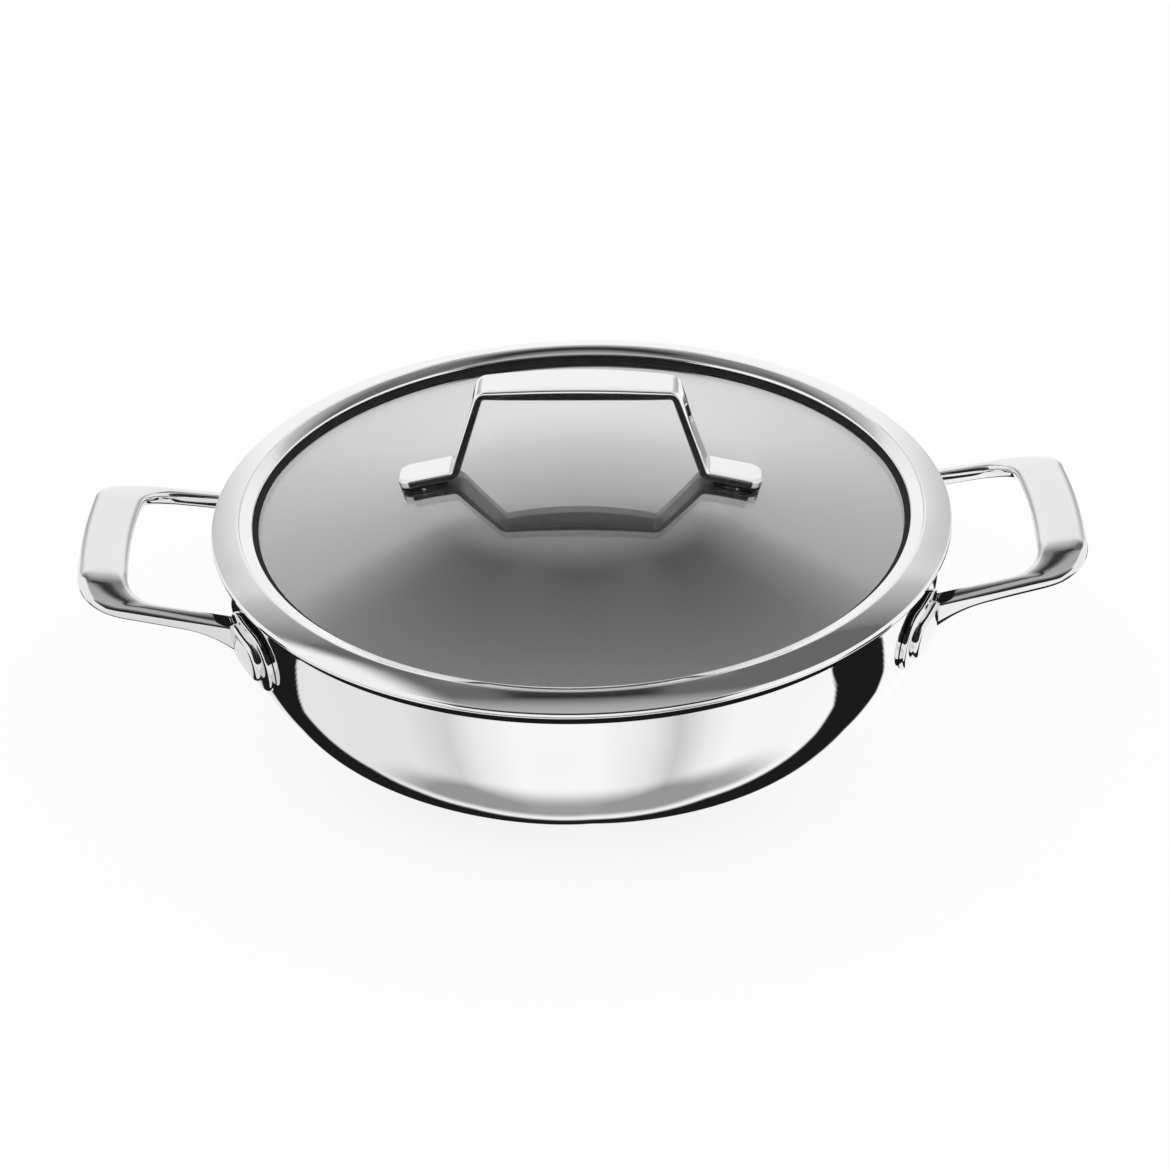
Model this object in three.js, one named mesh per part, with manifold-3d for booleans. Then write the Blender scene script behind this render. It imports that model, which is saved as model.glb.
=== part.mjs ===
import * as THREE from 'three';
import { mergeVertices } from 'three/addons/utils/BufferGeometryUtils.js';
import Module from 'manifold-3d';

// A braising pan with two side handles and a domed glass lid, in millimetres with +Z up.
// The origin is the centre of the base's underside, and the side handles lie along X.

// Clearances
const SEAT_GAP = 0.3; // between pieces that touch
const LID_PLAY = 1.5; // between the lid's skirt and the pan's wall

// Encapsulated base
const BASE_RADIUS = 96;
const CAP_SHEET = 0.8;
const CORE_THICKNESS = 3.9;

// Bowl
const FLOOR_RADIUS = 95; // flat part of the underside
const BOWL_RADIUS = 142.7; // outside of the upright wall
const RIM_HEIGHT = 78.7; // top of the rim above the table
const WALL = 1.2;
const FLARE_WIDTH = 3.6;
const FLARE_HEIGHT = 5;
const BOWL_SQUARENESS = 2.35; // exponent of the superellipse between floor and wall

// Side handles
const HANDLE_REACH = 56.3; // from the wall to the outside of the grip
const HANDLE_RISE = THREE.MathUtils.degToRad(10.6);
const ARM_DROP = 17.5; // from the rim down to the middle of the arms at the wall
const ARM_SPAN = 96.4; // between the middles of the arms at the wall
const ARM_CONVERGENCE = THREE.MathUtils.degToRad(4.6);
const ARM_WIDTH = 6.8;
const ARM_HEIGHT = 6;
const GRIP_WIDTH = 19;
const GRIP_THICKNESS = 6.6;
const GRIP_BOW = 1.2;
const GRIP_ARCH = 5.4; // of the middle of the grip above its ends
const ARCH_HALF = 45; // half of the arched length
const OUTER_CORNER = 19;
const INNER_CORNER = 16;
const SECTION_SQUARENESS = 3.2; // exponent of the arm's and grip's oval
const ARM_BEVEL = THREE.MathUtils.degToRad(13.5); // outward fall of the arms' top
const GUSSET_RUN = 13; // along the arm, from the lug
const GUSSET_DROP = 3.6;
const LUG_THICKNESS = 4.6; // from the wall
const LUG_WIDTH = 30;
const LUG_HEIGHT = 17;
const LUG_DROP = 14.2; // from the rim down to the top of the lugs
const LUG_CORNER = 8.2;
const LUG_SHIFT = 2.8; // end of the lug beyond the inner side of the arm
const FOOT_THICKNESS = 2.2;
const FOOT_WIDTH = 39;
const FOOT_HEIGHT = 26;
const FOOT_DROP = 9.2; // from the rim down to the top of the foot plates
const FOOT_CORNER = 12.5;
const FOOT_SHIFT = 1.4; // of the foot plate beyond the middle of its lug

// Lid ring
const RING_SHEET = 0.8;
const LIP_OVERHANG = 0.7; // beyond the pan's rim
const LIP_EDGE = 0.6; // rounding of the lip
const CREST_RISE = 4.8; // ridge of the ring above the pan's rim
const CREST_WIDTH = 4.5; // from the ridge inwards
const CREST_FALL = 1.1; // from the ridge inwards
const CREST_EDGE = 0.9; // rounding towards the glass
const BEAD_WIDTH = 9.3; // folded channel that holds the glass
const RECESS_DEPTH = 4.4; // from the ridge down to the glass
const LEAF_WIDTH = 8.9; // lower leaf of the channel

// Lid glass
const GLASS = 4;
const DOME_RADIUS = 275;
const DOME_SLOPE = THREE.MathUtils.degToRad(14); // at the foot of the dome, where the glass is steepest
const BRIM_SLOPE = THREE.MathUtils.degToRad(9.5); // beside the ring, after a hollow curve

// Lid handle
const HOLE_SPACING = 122;
const STRAP_WIDTH = 15.3;
const STRAP_THICKNESS = 3.2;
const STRAP_RISE = 43.15; // middle of the bar above the glass at the holes
const STRAP_HEEL = 11.7; // from a hole to the bend of the foot
const STRAP_TOE = 11; // from a hole to the tip of the foot
const LEG_SPLAY = 11.2;
const BAR_ARCH = 1.7;
const BAR_CROWN = 500; // radius along the top of the bar
const BAR_SWELL = 1.5; // widening of the bar to each side in its middle
const BEND_RADIUS = 3.4;
const TIP_RADIUS = 5.5;
const LID_TURN = THREE.MathUtils.degToRad(-3.7); // the lid sits slightly turned on the pan

// Lid fixings
const PAD_THICKNESS = 0.9;
const PAD_INSET = 0.5;
const STUD_DIAMETER = 5;
const STUD_ENGAGEMENT = 4;
const BUSHING_WALL = 1.5;
const FLANGE_DIAMETER = 16;
const FLANGE_THICKNESS = 1.2;
const WASHER_DIAMETER = 14;
const WASHER_THICKNESS = 1;
const NUT_WIDTH = 8; // across the flats
const NUT_HEIGHT = 6;
const NUT_DOME = 1.8;
const NUT_SHOULDER = 0.4; // step between the hexagon and the domed end

// Fineness of the round surfaces
const ROUND_SIDES = 64;
const SMALL_SIDES = 24;
const BOWL_STEPS = 14;
const FLARE_STEPS = 4;
const DOME_STEPS = 7;
const BRIM_STEPS = 5;
const BEND_STEPS = 4;
const ARM_STEPS = 8;
const CORNER_STEPS = 7;
const GRIP_STEPS = 4;
const SECTION_POINTS = 16;

// Levels and radii that follow from the sizes above
const LUG_RADIUS = BOWL_RADIUS + SEAT_GAP + LUG_THICKNESS; // outside of the lugs
const FLOOR_Z = CAP_SHEET + CORE_THICKNESS + 2 * SEAT_GAP;
const FLARE_TOP_Z = RIM_HEIGHT - WALL;
const FLARE_FOOT_Z = FLARE_TOP_Z - FLARE_HEIGHT;
const RIM_RADIUS = BOWL_RADIUS + FLARE_WIDTH;
const LIP_RADIUS = RIM_RADIUS + LIP_OVERHANG;
const LIP_Z = RIM_HEIGHT + SEAT_GAP;
const LIP_TOP_Z = LIP_Z + 2 * RING_SHEET;
const CREST_Z = RIM_HEIGHT + CREST_RISE;
const WEB_RADIUS = BOWL_RADIUS - WALL - LID_PLAY;
const RING_BORE = WEB_RADIUS - BEAD_WIDTH;
const CREASE_RADIUS = RING_BORE + CREST_EDGE + CREST_WIDTH;
const GLASS_Z = CREST_Z - RECESS_DEPTH - SEAT_GAP; // top of the glass at its flat edge
const GLASS_RADIUS = WEB_RADIUS - RING_SHEET - SEAT_GAP;
const BRIM_WIDTH = RING_BORE - DOME_RADIUS * Math.sin(DOME_SLOPE);
const BRIM_RADIUS = BRIM_WIDTH / (Math.sin(DOME_SLOPE) - Math.sin(BRIM_SLOPE));
const DOME_FOOT_Z = GLASS_Z + BRIM_RADIUS * (Math.cos(BRIM_SLOPE) - Math.cos(DOME_SLOPE));
const DOME_CENTRE_Z = DOME_FOOT_Z - DOME_RADIUS * Math.cos(DOME_SLOPE);
const HOLE_X = HOLE_SPACING / 2;
const HOLE_TILT = Math.asin(HOLE_X / DOME_RADIUS);
const HOLE_Z = DOME_CENTRE_Z + DOME_RADIUS * Math.cos(HOLE_TILT);
const PAD_TOP = SEAT_GAP + PAD_THICKNESS;
const STRAP_SEAT = PAD_TOP + SEAT_GAP; // underside of the strap's foot above the glass
const BUSHING_BORE = STUD_DIAMETER / 2 + SEAT_GAP;
const BUSHING_RADIUS = BUSHING_BORE + BUSHING_WALL;
const GLASS_HOLE = BUSHING_RADIUS + SEAT_GAP;
const FLANGE_TOP = -GLASS - SEAT_GAP;
const WASHER_TOP = FLANGE_TOP - FLANGE_THICKNESS - SEAT_GAP;
const NUT_TOP = WASHER_TOP - WASHER_THICKNESS - SEAT_GAP;
const STUD_END = NUT_TOP - STUD_ENGAGEMENT;

// Materials
const polishedSteel = new THREE.MeshStandardMaterial({ color: 0xd8dadc, roughness: 0.1, metalness: 1 });
const castSteel = new THREE.MeshStandardMaterial({ color: 0xd2d4d6, roughness: 0.16, metalness: 1 });
const brushedSteel = new THREE.MeshStandardMaterial({ color: 0xb9bcbf, roughness: 0.38, metalness: 1 });
const aluminium = new THREE.MeshStandardMaterial({ color: 0xc4c6c8, roughness: 0.45, metalness: 1 });
const glass = new THREE.MeshStandardMaterial({ color: 0xc9d0cf, roughness: 0.04, metalness: 0 });
const silicone = new THREE.MeshStandardMaterial({ color: 0x1c1c1d, roughness: 0.7, metalness: 0 });

const wasm = await Module();
wasm.setup();

// Turns a closed geometry into a solid that can be joined and cut.
function toSolid(geometry) {
  const bare = geometry.clone();
  bare.deleteAttribute('normal');
  bare.deleteAttribute('uv');
  const merged = mergeVertices(bare);
  const corners = merged.index.array;
  const triangles = [];
  for (let i = 0; i < corners.length; i += 3) {
    const [a, b, c] = corners.slice(i, i + 3);
    if (a !== b && b !== c && c !== a) {
      triangles.push(a, b, c);
    }
  }
  const vertProperties = new Float32Array(merged.attributes.position.array);
  const triVerts = new Uint32Array(triangles);
  return new wasm.Manifold(new wasm.Mesh({ numProp: 3, vertProperties, triVerts }));
}

function toGeometry(solid) {
  const mesh = solid.getMesh();
  return indexedGeometry(mesh.vertProperties, mesh.triVerts);
}

function indexedGeometry(positions, indices) {
  const geometry = new THREE.BufferGeometry();
  geometry.setAttribute('position', new THREE.Float32BufferAttribute(positions, 3));
  geometry.setIndex(Array.from(indices));
  geometry.computeVertexNormals();
  return geometry;
}

// Revolves a profile of radius and height about Z. Its outer side runs upwards.
function revolve(profile, sides = ROUND_SIDES) {
  return new THREE.LatheGeometry(profile, sides).rotateX(Math.PI / 2);
}

function closedProfile(points) {
  return [...points, points[0].clone()];
}

// Moves each point of a path sideways, to the left of its direction.
function offsetPath(points, distance) {
  return points.map((point, i) => {
    const before = points[Math.max(i - 1, 0)];
    const after = points[Math.min(i + 1, points.length - 1)];
    const along = after.clone().sub(before).normalize();
    return new THREE.Vector2(point.x - along.y * distance, point.y + along.x * distance);
  });
}

// Points of a path whose inner corners are rounded, with one radius for each.
function roundedPath(corners, radii) {
  const points = [corners[0]];
  for (let i = 1; i < corners.length - 1; i++) {
    const corner = corners[i];
    const back = corners[i - 1].clone().sub(corner).normalize();
    const ahead = corners[i + 1].clone().sub(corner).normalize();
    const trim = radii[i - 1] / Math.tan(back.angleTo(ahead) / 2);
    const start = corner.clone().addScaledVector(back, trim);
    const end = corner.clone().addScaledVector(ahead, trim);
    points.push(...new THREE.QuadraticBezierCurve(start, corner, end).getPoints(BEND_STEPS));
  }
  points.push(corners[corners.length - 1]);
  return points;
}

// A rectangle whose corner radius is limited by half of its shorter side.
function roundedRectangle(left, right, bottom, top, corner) {
  const radius = Math.min(corner, (right - left) / 2, (top - bottom) / 2);
  const shape = new THREE.Shape();
  shape.moveTo(left + radius, bottom);
  shape.lineTo(right - radius, bottom);
  shape.absarc(right - radius, bottom + radius, radius, -Math.PI / 2, 0);
  shape.lineTo(right, top - radius);
  shape.absarc(right - radius, top - radius, radius, 0, Math.PI / 2);
  shape.lineTo(left + radius, top);
  shape.absarc(left + radius, top - radius, radius, Math.PI / 2, Math.PI);
  shape.lineTo(left, bottom + radius);
  shape.absarc(left + radius, bottom + radius, radius, Math.PI, 1.5 * Math.PI);
  return shape;
}

function extrude(shape, depth, curveSegments = BEND_STEPS) {
  return new THREE.ExtrudeGeometry(shape, { depth, bevelEnabled: false, curveSegments });
}

// Joins rings of points into a closed body with flat ends.
function loft(rings) {
  const count = rings[0].length;
  const positions = rings.flat().flatMap((point) => point.toArray());
  const indices = [];
  for (let i = 0; i < rings.length - 1; i++) {
    for (let j = 0; j < count; j++) {
      const a = i * count + j;
      const b = i * count + ((j + 1) % count);
      indices.push(a, b, b + count, a, b + count, a + count);
    }
  }
  const last = (rings.length - 1) * count;
  for (let j = 1; j < count - 1; j++) {
    indices.push(0, j + 1, j);
    indices.push(last, last + j, last + j + 1);
  }
  return indexedGeometry(positions, indices);
}

// Outside of the bowl from the middle of the floor to the end of the flared rim.
function bowlOutside() {
  const points = [new THREE.Vector2(0, FLOOR_Z)];
  for (let i = 0; i <= BOWL_STEPS; i++) {
    const angle = (i / BOWL_STEPS) * (Math.PI / 2);
    const out = Math.sin(angle) ** (2 / BOWL_SQUARENESS);
    const up = 1 - Math.max(Math.cos(angle), 0) ** (2 / BOWL_SQUARENESS);
    const radius = FLOOR_RADIUS + (BOWL_RADIUS - FLOOR_RADIUS) * out;
    points.push(new THREE.Vector2(radius, FLOOR_Z + (FLARE_FOOT_Z - FLOOR_Z) * up));
  }
  for (let i = 1; i <= FLARE_STEPS; i++) {
    const angle = (i / FLARE_STEPS) * (Math.PI / 2);
    const radius = RIM_RADIUS - FLARE_WIDTH * Math.cos(angle);
    points.push(new THREE.Vector2(radius, FLARE_FOOT_Z + FLARE_HEIGHT * Math.sin(angle)));
  }
  return points;
}

function makeBowl() {
  const outside = bowlOutside();
  const inside = offsetPath(outside, WALL);
  return revolve([...outside, ...inside.reverse()]);
}

// The bowl's outer form as a full body, grown outwards.
function bowlForm(growth) {
  const grown = offsetPath(bowlOutside(), -growth);
  const rim = grown[grown.length - 1];
  return toSolid(revolve([...grown, new THREE.Vector2(0, rim.y)]));
}

function makeBaseCap() {
  const top = FLOOR_Z - SEAT_GAP;
  return revolve([
    new THREE.Vector2(0, 0),
    new THREE.Vector2(BASE_RADIUS - CAP_SHEET, 0),
    new THREE.Vector2(BASE_RADIUS, CAP_SHEET),
    new THREE.Vector2(BASE_RADIUS, top),
    new THREE.Vector2(BASE_RADIUS - CAP_SHEET, top),
    new THREE.Vector2(BASE_RADIUS - CAP_SHEET, CAP_SHEET),
    new THREE.Vector2(0, CAP_SHEET),
  ]);
}

function makeBaseCore() {
  const radius = BASE_RADIUS - CAP_SHEET - SEAT_GAP;
  const bottom = CAP_SHEET + SEAT_GAP;
  return revolve([
    new THREE.Vector2(0, bottom),
    new THREE.Vector2(radius, bottom),
    new THREE.Vector2(radius, bottom + CORE_THICKNESS),
    new THREE.Vector2(0, bottom + CORE_THICKNESS),
  ]);
}

// Half of the loop's outline in plan, from inside the wall to the middle of the grip.
// The side is +1 for the outer edge and -1 for the inner edge.
function handleEdge(side) {
  const edgeY = ARM_SPAN / 2 + (side * ARM_WIDTH) / 2;
  const grip = BOWL_RADIUS + HANDLE_REACH - (side > 0 ? 0 : GRIP_WIDTH);
  const corner = side > 0 ? OUTER_CORNER : INNER_CORNER;
  const armY = (x) => edgeY - (x - BOWL_RADIUS) * Math.tan(ARM_CONVERGENCE);
  const rootX = Math.sqrt((BOWL_RADIUS - FOOT_THICKNESS) ** 2 - edgeY ** 2);
  const root = new THREE.Vector2(rootX, armY(rootX));
  const bowed = grip - GRIP_BOW;
  const bend = new THREE.Vector2(bowed - corner, armY(bowed - corner));
  const turn = new THREE.Vector2(bowed, armY(bowed));
  const end = new THREE.Vector2(bowed, turn.y - corner);
  const crown = new THREE.Vector2(grip, end.y / 2);
  const middle = new THREE.Vector2(grip, 0);
  const arm = new THREE.LineCurve(root, bend).getPoints(ARM_STEPS);
  const round = new THREE.QuadraticBezierCurve(bend, turn, end).getPoints(CORNER_STEPS);
  const bar = new THREE.QuadraticBezierCurve(end, crown, middle).getPoints(GRIP_STEPS);
  return [...arm, ...round.slice(1), ...bar.slice(1)];
}

// One cross-section of the loop, a rounded oval that deepens into a gusset at the wall.
// The top of the arms falls outwards, and the grip arches upwards.
function handleSection(outer, inner, share) {
  const height = (x) => RIM_HEIGHT - ARM_DROP + (x - BOWL_RADIUS) * Math.tan(HANDLE_RISE);
  const a = new THREE.Vector3(outer.x, outer.y, height(outer.x));
  const b = new THREE.Vector3(inner.x, inner.y, height(inner.x));
  const centre = a.clone().lerp(b, 0.5);
  const across = a.clone().sub(centre);
  centre.z += GRIP_ARCH * Math.max(1 - (centre.y / ARCH_HALF) ** 2, 0);
  const normal = new THREE.Vector3(-Math.sin(HANDLE_RISE), 0, Math.cos(HANDLE_RISE));
  const half = THREE.MathUtils.lerp(ARM_HEIGHT, GRIP_THICKNESS, share) / 2;
  const wallX = Math.sqrt(LUG_RADIUS ** 2 - (ARM_SPAN / 2) ** 2);
  const near = Math.max(1 - (centre.x - wallX) / GUSSET_RUN, 0);
  const points = [];
  for (let i = 0; i < SECTION_POINTS; i++) {
    const angle = (i / SECTION_POINTS) * 2 * Math.PI;
    const wide = superellipse(Math.cos(angle));
    const tall = superellipse(Math.sin(angle));
    const fall = Math.tan(ARM_BEVEL) * across.y * wide;
    const lift = tall < 0 ? half + GUSSET_DROP * near ** 2 : half - fall;
    const point = centre.clone().addScaledVector(across, wide);
    points.push(point.addScaledVector(normal, tall * lift));
  }
  return points;
}

// Bends a sine or cosine towards a rounded rectangle.
function superellipse(value) {
  return Math.sign(value) * Math.abs(value) ** (2 / SECTION_SQUARENESS);
}

// A plate bent to the wall, with its top at a drop below the rim.
function wallPlate(angle, drop, width, height, corner, thickness) {
  const top = RIM_HEIGHT - drop;
  const outline = roundedRectangle(-width / 2, width / 2, top - height, top, corner);
  const blank = extrude(outline, 2 * LUG_RADIUS);
  blank.rotateX(Math.PI / 2).rotateZ(Math.PI / 2 + angle);
  return bowlForm(SEAT_GAP + thickness).intersect(toSolid(blank));
}

// A lug on its foot plate. The side is +1 for the rear foot and -1 for the front one.
function makeFoot(side) {
  const armAngle = Math.asin(ARM_SPAN / 2 / LUG_RADIUS);
  const lugAngle = armAngle + (LUG_WIDTH / 2 - ARM_WIDTH / 2 + LUG_SHIFT) / LUG_RADIUS;
  const footAngle = lugAngle + FOOT_SHIFT / LUG_RADIUS;
  const lug = wallPlate(side * lugAngle, LUG_DROP, LUG_WIDTH, LUG_HEIGHT, LUG_CORNER, LUG_THICKNESS);
  const plate = wallPlate(side * footAngle, FOOT_DROP, FOOT_WIDTH, FOOT_HEIGHT, FOOT_CORNER, FOOT_THICKNESS);
  return lug.add(plate);
}

function makeHandle() {
  const outer = handleEdge(1);
  const inner = handleEdge(-1);
  const last = outer.length - 1;
  const rear = outer.map((point, i) => handleSection(point, inner[i], i / last));
  const mirrored = rear.map((ring) => ring.map((p) => new THREE.Vector3(p.x, -p.y, p.z)));
  const front = mirrored.slice(0, -1).reverse();
  const loop = toSolid(loft([...rear, ...front]));
  const whole = loop.add(makeFoot(1)).add(makeFoot(-1));
  return toGeometry(whole.subtract(bowlForm(SEAT_GAP)));
}

// Top of the ring's sloping flange at a radius.
function flangeTop(radius) {
  const share = (radius - CREASE_RADIUS) / (LIP_RADIUS - LIP_EDGE - CREASE_RADIUS);
  return THREE.MathUtils.lerp(CREST_Z, LIP_TOP_Z, share);
}

// The ring is one sheet folded double at the lip, with a channel round the edge of the glass.
function makeRing() {
  const wall = RING_BORE + RING_SHEET;
  const web = WEB_RADIUS - RING_SHEET;
  const brow = CREST_Z - CREST_FALL; // top of the ring beside the glass
  const leafTop = GLASS_Z - GLASS - SEAT_GAP;
  const leafEnd = WEB_RADIUS - LEAF_WIDTH;
  return revolve(closedProfile([
    new THREE.Vector2(LIP_RADIUS, LIP_Z),
    new THREE.Vector2(LIP_RADIUS, LIP_TOP_Z - LIP_EDGE),
    new THREE.Vector2(LIP_RADIUS - LIP_EDGE, LIP_TOP_Z),
    new THREE.Vector2(CREASE_RADIUS, CREST_Z),
    new THREE.Vector2(RING_BORE + CREST_EDGE, brow),
    new THREE.Vector2(RING_BORE, brow - CREST_EDGE),
    new THREE.Vector2(RING_BORE, GLASS_Z + SEAT_GAP),
    new THREE.Vector2(wall, GLASS_Z + SEAT_GAP),
    new THREE.Vector2(wall, brow - RING_SHEET),
    new THREE.Vector2(web, flangeTop(web) - RING_SHEET),
    new THREE.Vector2(web, leafTop),
    new THREE.Vector2(leafEnd, leafTop),
    new THREE.Vector2(leafEnd, leafTop - RING_SHEET),
    new THREE.Vector2(WEB_RADIUS, leafTop - RING_SHEET),
    new THREE.Vector2(WEB_RADIUS, flangeTop(WEB_RADIUS) - 2 * RING_SHEET),
    new THREE.Vector2(LIP_RADIUS - 2 * RING_SHEET, LIP_Z),
  ]));
}

// Top of the glass from its edge to the middle: flat edge, hollow brim and dome.
function glassTop() {
  const points = [new THREE.Vector2(GLASS_RADIUS, GLASS_Z)];
  for (let i = 0; i <= BRIM_STEPS; i++) {
    const angle = THREE.MathUtils.lerp(BRIM_SLOPE, DOME_SLOPE, i / BRIM_STEPS);
    const run = BRIM_RADIUS * (Math.sin(angle) - Math.sin(BRIM_SLOPE));
    const rise = BRIM_RADIUS * (Math.cos(BRIM_SLOPE) - Math.cos(angle));
    points.push(new THREE.Vector2(RING_BORE - run, GLASS_Z + rise));
  }
  for (let i = 1; i <= DOME_STEPS; i++) {
    const angle = (1 - i / DOME_STEPS) * DOME_SLOPE;
    const height = DOME_CENTRE_Z + DOME_RADIUS * Math.cos(angle);
    points.push(new THREE.Vector2(DOME_RADIUS * Math.sin(angle), height));
  }
  return points;
}

// Places something made round a hole's axis, with z = 0 on top of the glass.
// The side is +1 for the right foot and -1 for the left foot.
function atHole(object, side) {
  const frame = new THREE.Group();
  frame.position.set(side * HOLE_X, 0, HOLE_Z);
  frame.rotation.set(0, side * HOLE_TILT, 0);
  frame.add(object);
  return frame;
}

function holeMatrix(side) {
  const frame = atHole(new THREE.Object3D(), side);
  frame.updateMatrixWorld();
  return frame.matrixWorld;
}

function makeGlass() {
  const top = glassTop();
  const bottom = offsetPath(top, GLASS);
  bottom[bottom.length - 1].x = 0;
  let disc = toSolid(revolve([...bottom.reverse(), ...top]));
  for (const side of [-1, 1]) {
    const drill = new THREE.CylinderGeometry(GLASS_HOLE, GLASS_HOLE, 3 * GLASS, SMALL_SIDES);
    drill.rotateX(Math.PI / 2).applyMatrix4(holeMatrix(side));
    disc = disc.subtract(toSolid(drill));
  }
  return toGeometry(disc);
}

// Middle of the strap seen from the front, from the left tip over the bar to the right tip.
function strapPath() {
  const lift = STRAP_SEAT + STRAP_THICKNESS / 2;
  const seat = new THREE.Vector2(lift * Math.sin(HOLE_TILT), lift * Math.cos(HOLE_TILT));
  const foot = (x) => HOLE_Z + seat.y - (x - HOLE_X - seat.x) * Math.tan(HOLE_TILT);
  const barZ = HOLE_Z + STRAP_RISE;
  const bend = HOLE_X - STRAP_HEEL;
  const toe = HOLE_X + STRAP_TOE;
  const shoulder = bend - LEG_SPLAY;
  return roundedPath([
    new THREE.Vector2(-toe, foot(toe)),
    new THREE.Vector2(-bend, foot(bend)),
    new THREE.Vector2(-shoulder, barZ - BAR_ARCH),
    new THREE.Vector2(0, barZ),
    new THREE.Vector2(shoulder, barZ - BAR_ARCH),
    new THREE.Vector2(bend, foot(bend)),
    new THREE.Vector2(toe, foot(toe)),
  ], [BEND_RADIUS, BEND_RADIUS, BAR_CROWN, BEND_RADIUS, BEND_RADIUS]);
}

// Outline of the strap from above, with round tips and a bar that is widest in its middle.
function strapPlan() {
  const tip = HOLE_X + STRAP_TOE;
  const half = STRAP_WIDTH / 2;
  const corner = Math.min(TIP_RADIUS, half);
  const shoulder = HOLE_X - STRAP_HEEL - LEG_SPLAY;
  const shape = new THREE.Shape();
  shape.moveTo(-shoulder, -half);
  shape.quadraticCurveTo(0, -half - 2 * BAR_SWELL, shoulder, -half);
  shape.lineTo(tip - corner, -half);
  shape.absarc(tip - corner, corner - half, corner, -Math.PI / 2, 0);
  shape.lineTo(tip, half - corner);
  shape.absarc(tip - corner, half - corner, corner, 0, Math.PI / 2);
  shape.lineTo(shoulder, half);
  shape.quadraticCurveTo(0, half + 2 * BAR_SWELL, -shoulder, half);
  shape.lineTo(corner - tip, half);
  shape.absarc(corner - tip, half - corner, corner, Math.PI / 2, Math.PI);
  shape.lineTo(-tip, corner - half);
  shape.absarc(corner - tip, corner - half, corner, Math.PI, 1.5 * Math.PI);
  return shape;
}

function makeStrap() {
  const middle = strapPath();
  const upper = offsetPath(middle, STRAP_THICKNESS / 2);
  const lower = offsetPath(middle, -STRAP_THICKNESS / 2);
  const width = STRAP_WIDTH + 2 * BAR_SWELL;
  const ribbon = extrude(new THREE.Shape([...lower, ...upper.reverse()]), width);
  ribbon.translate(0, 0, -width / 2).rotateX(Math.PI / 2);
  const plan = extrude(strapPlan(), 2 * (HOLE_Z + STRAP_RISE));
  let strap = toSolid(ribbon).intersect(toSolid(plan));
  for (const side of [-1, 1]) {
    const top = STRAP_SEAT + STRAP_THICKNESS / 2;
    const stud = new THREE.CylinderGeometry(STUD_DIAMETER / 2, STUD_DIAMETER / 2, top - STUD_END, SMALL_SIDES);
    stud.rotateX(Math.PI / 2).translate(0, 0, (top + STUD_END) / 2).applyMatrix4(holeMatrix(side));
    strap = strap.add(toSolid(stud));
  }
  return toGeometry(strap);
}

// The gasket under a foot, with local x pointing outwards.
function makePad(side) {
  const half = STRAP_WIDTH / 2 - PAD_INSET;
  const heel = -STRAP_HEEL + STRAP_THICKNESS;
  const toe = STRAP_TOE - PAD_INSET;
  const outline = roundedRectangle(heel, toe, -half, half, TIP_RADIUS - PAD_INSET);
  const hole = new THREE.Path();
  hole.absarc(0, 0, BUSHING_BORE, 0, 2 * Math.PI, true);
  outline.holes.push(hole);
  const pad = extrude(outline, PAD_THICKNESS, SMALL_SIDES / 4);
  pad.translate(0, 0, SEAT_GAP);
  return side > 0 ? pad : pad.rotateZ(Math.PI);
}

function makeBushing() {
  return revolve(closedProfile([
    new THREE.Vector2(BUSHING_RADIUS, FLANGE_TOP),
    new THREE.Vector2(BUSHING_RADIUS, 0),
    new THREE.Vector2(BUSHING_BORE, 0),
    new THREE.Vector2(BUSHING_BORE, FLANGE_TOP - FLANGE_THICKNESS),
    new THREE.Vector2(FLANGE_DIAMETER / 2, FLANGE_TOP - FLANGE_THICKNESS),
    new THREE.Vector2(FLANGE_DIAMETER / 2, FLANGE_TOP),
  ]), SMALL_SIDES);
}

function makeWasher() {
  return revolve(closedProfile([
    new THREE.Vector2(WASHER_DIAMETER / 2, WASHER_TOP - WASHER_THICKNESS),
    new THREE.Vector2(WASHER_DIAMETER / 2, WASHER_TOP),
    new THREE.Vector2(BUSHING_BORE, WASHER_TOP),
    new THREE.Vector2(BUSHING_BORE, WASHER_TOP - WASHER_THICKNESS),
  ]), SMALL_SIDES);
}

// Cap nut: a hexagon with a rounded closed end and a blind hole for the stud.
function makeNut() {
  const reach = NUT_WIDTH / Math.sqrt(3);
  const shoulder = NUT_WIDTH / 2 - NUT_SHOULDER;
  const hexagon = new THREE.CylinderGeometry(reach, reach, NUT_HEIGHT, 6);
  hexagon.rotateX(Math.PI / 2).translate(0, 0, NUT_TOP - NUT_HEIGHT / 2);
  const cap = revolve([
    new THREE.Vector2(0, NUT_TOP - NUT_HEIGHT - NUT_DOME),
    new THREE.Vector2(shoulder / 2, NUT_TOP - NUT_HEIGHT - NUT_DOME),
    new THREE.Vector2(shoulder, NUT_TOP - NUT_HEIGHT),
    new THREE.Vector2(shoulder, NUT_TOP - NUT_HEIGHT / 2),
    new THREE.Vector2(0, NUT_TOP - NUT_HEIGHT / 2),
  ], SMALL_SIDES);
  const bottom = STUD_END - SEAT_GAP;
  const drill = new THREE.CylinderGeometry(BUSHING_BORE, BUSHING_BORE, 2 * (NUT_TOP - bottom), SMALL_SIDES);
  drill.rotateX(Math.PI / 2).translate(0, 0, NUT_TOP);
  return toGeometry(toSolid(hexagon).add(toSolid(cap)).subtract(toSolid(drill)));
}

function piece(name, geometry, material) {
  const mesh = new THREE.Mesh(geometry, material);
  mesh.name = name;
  return mesh;
}

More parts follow.
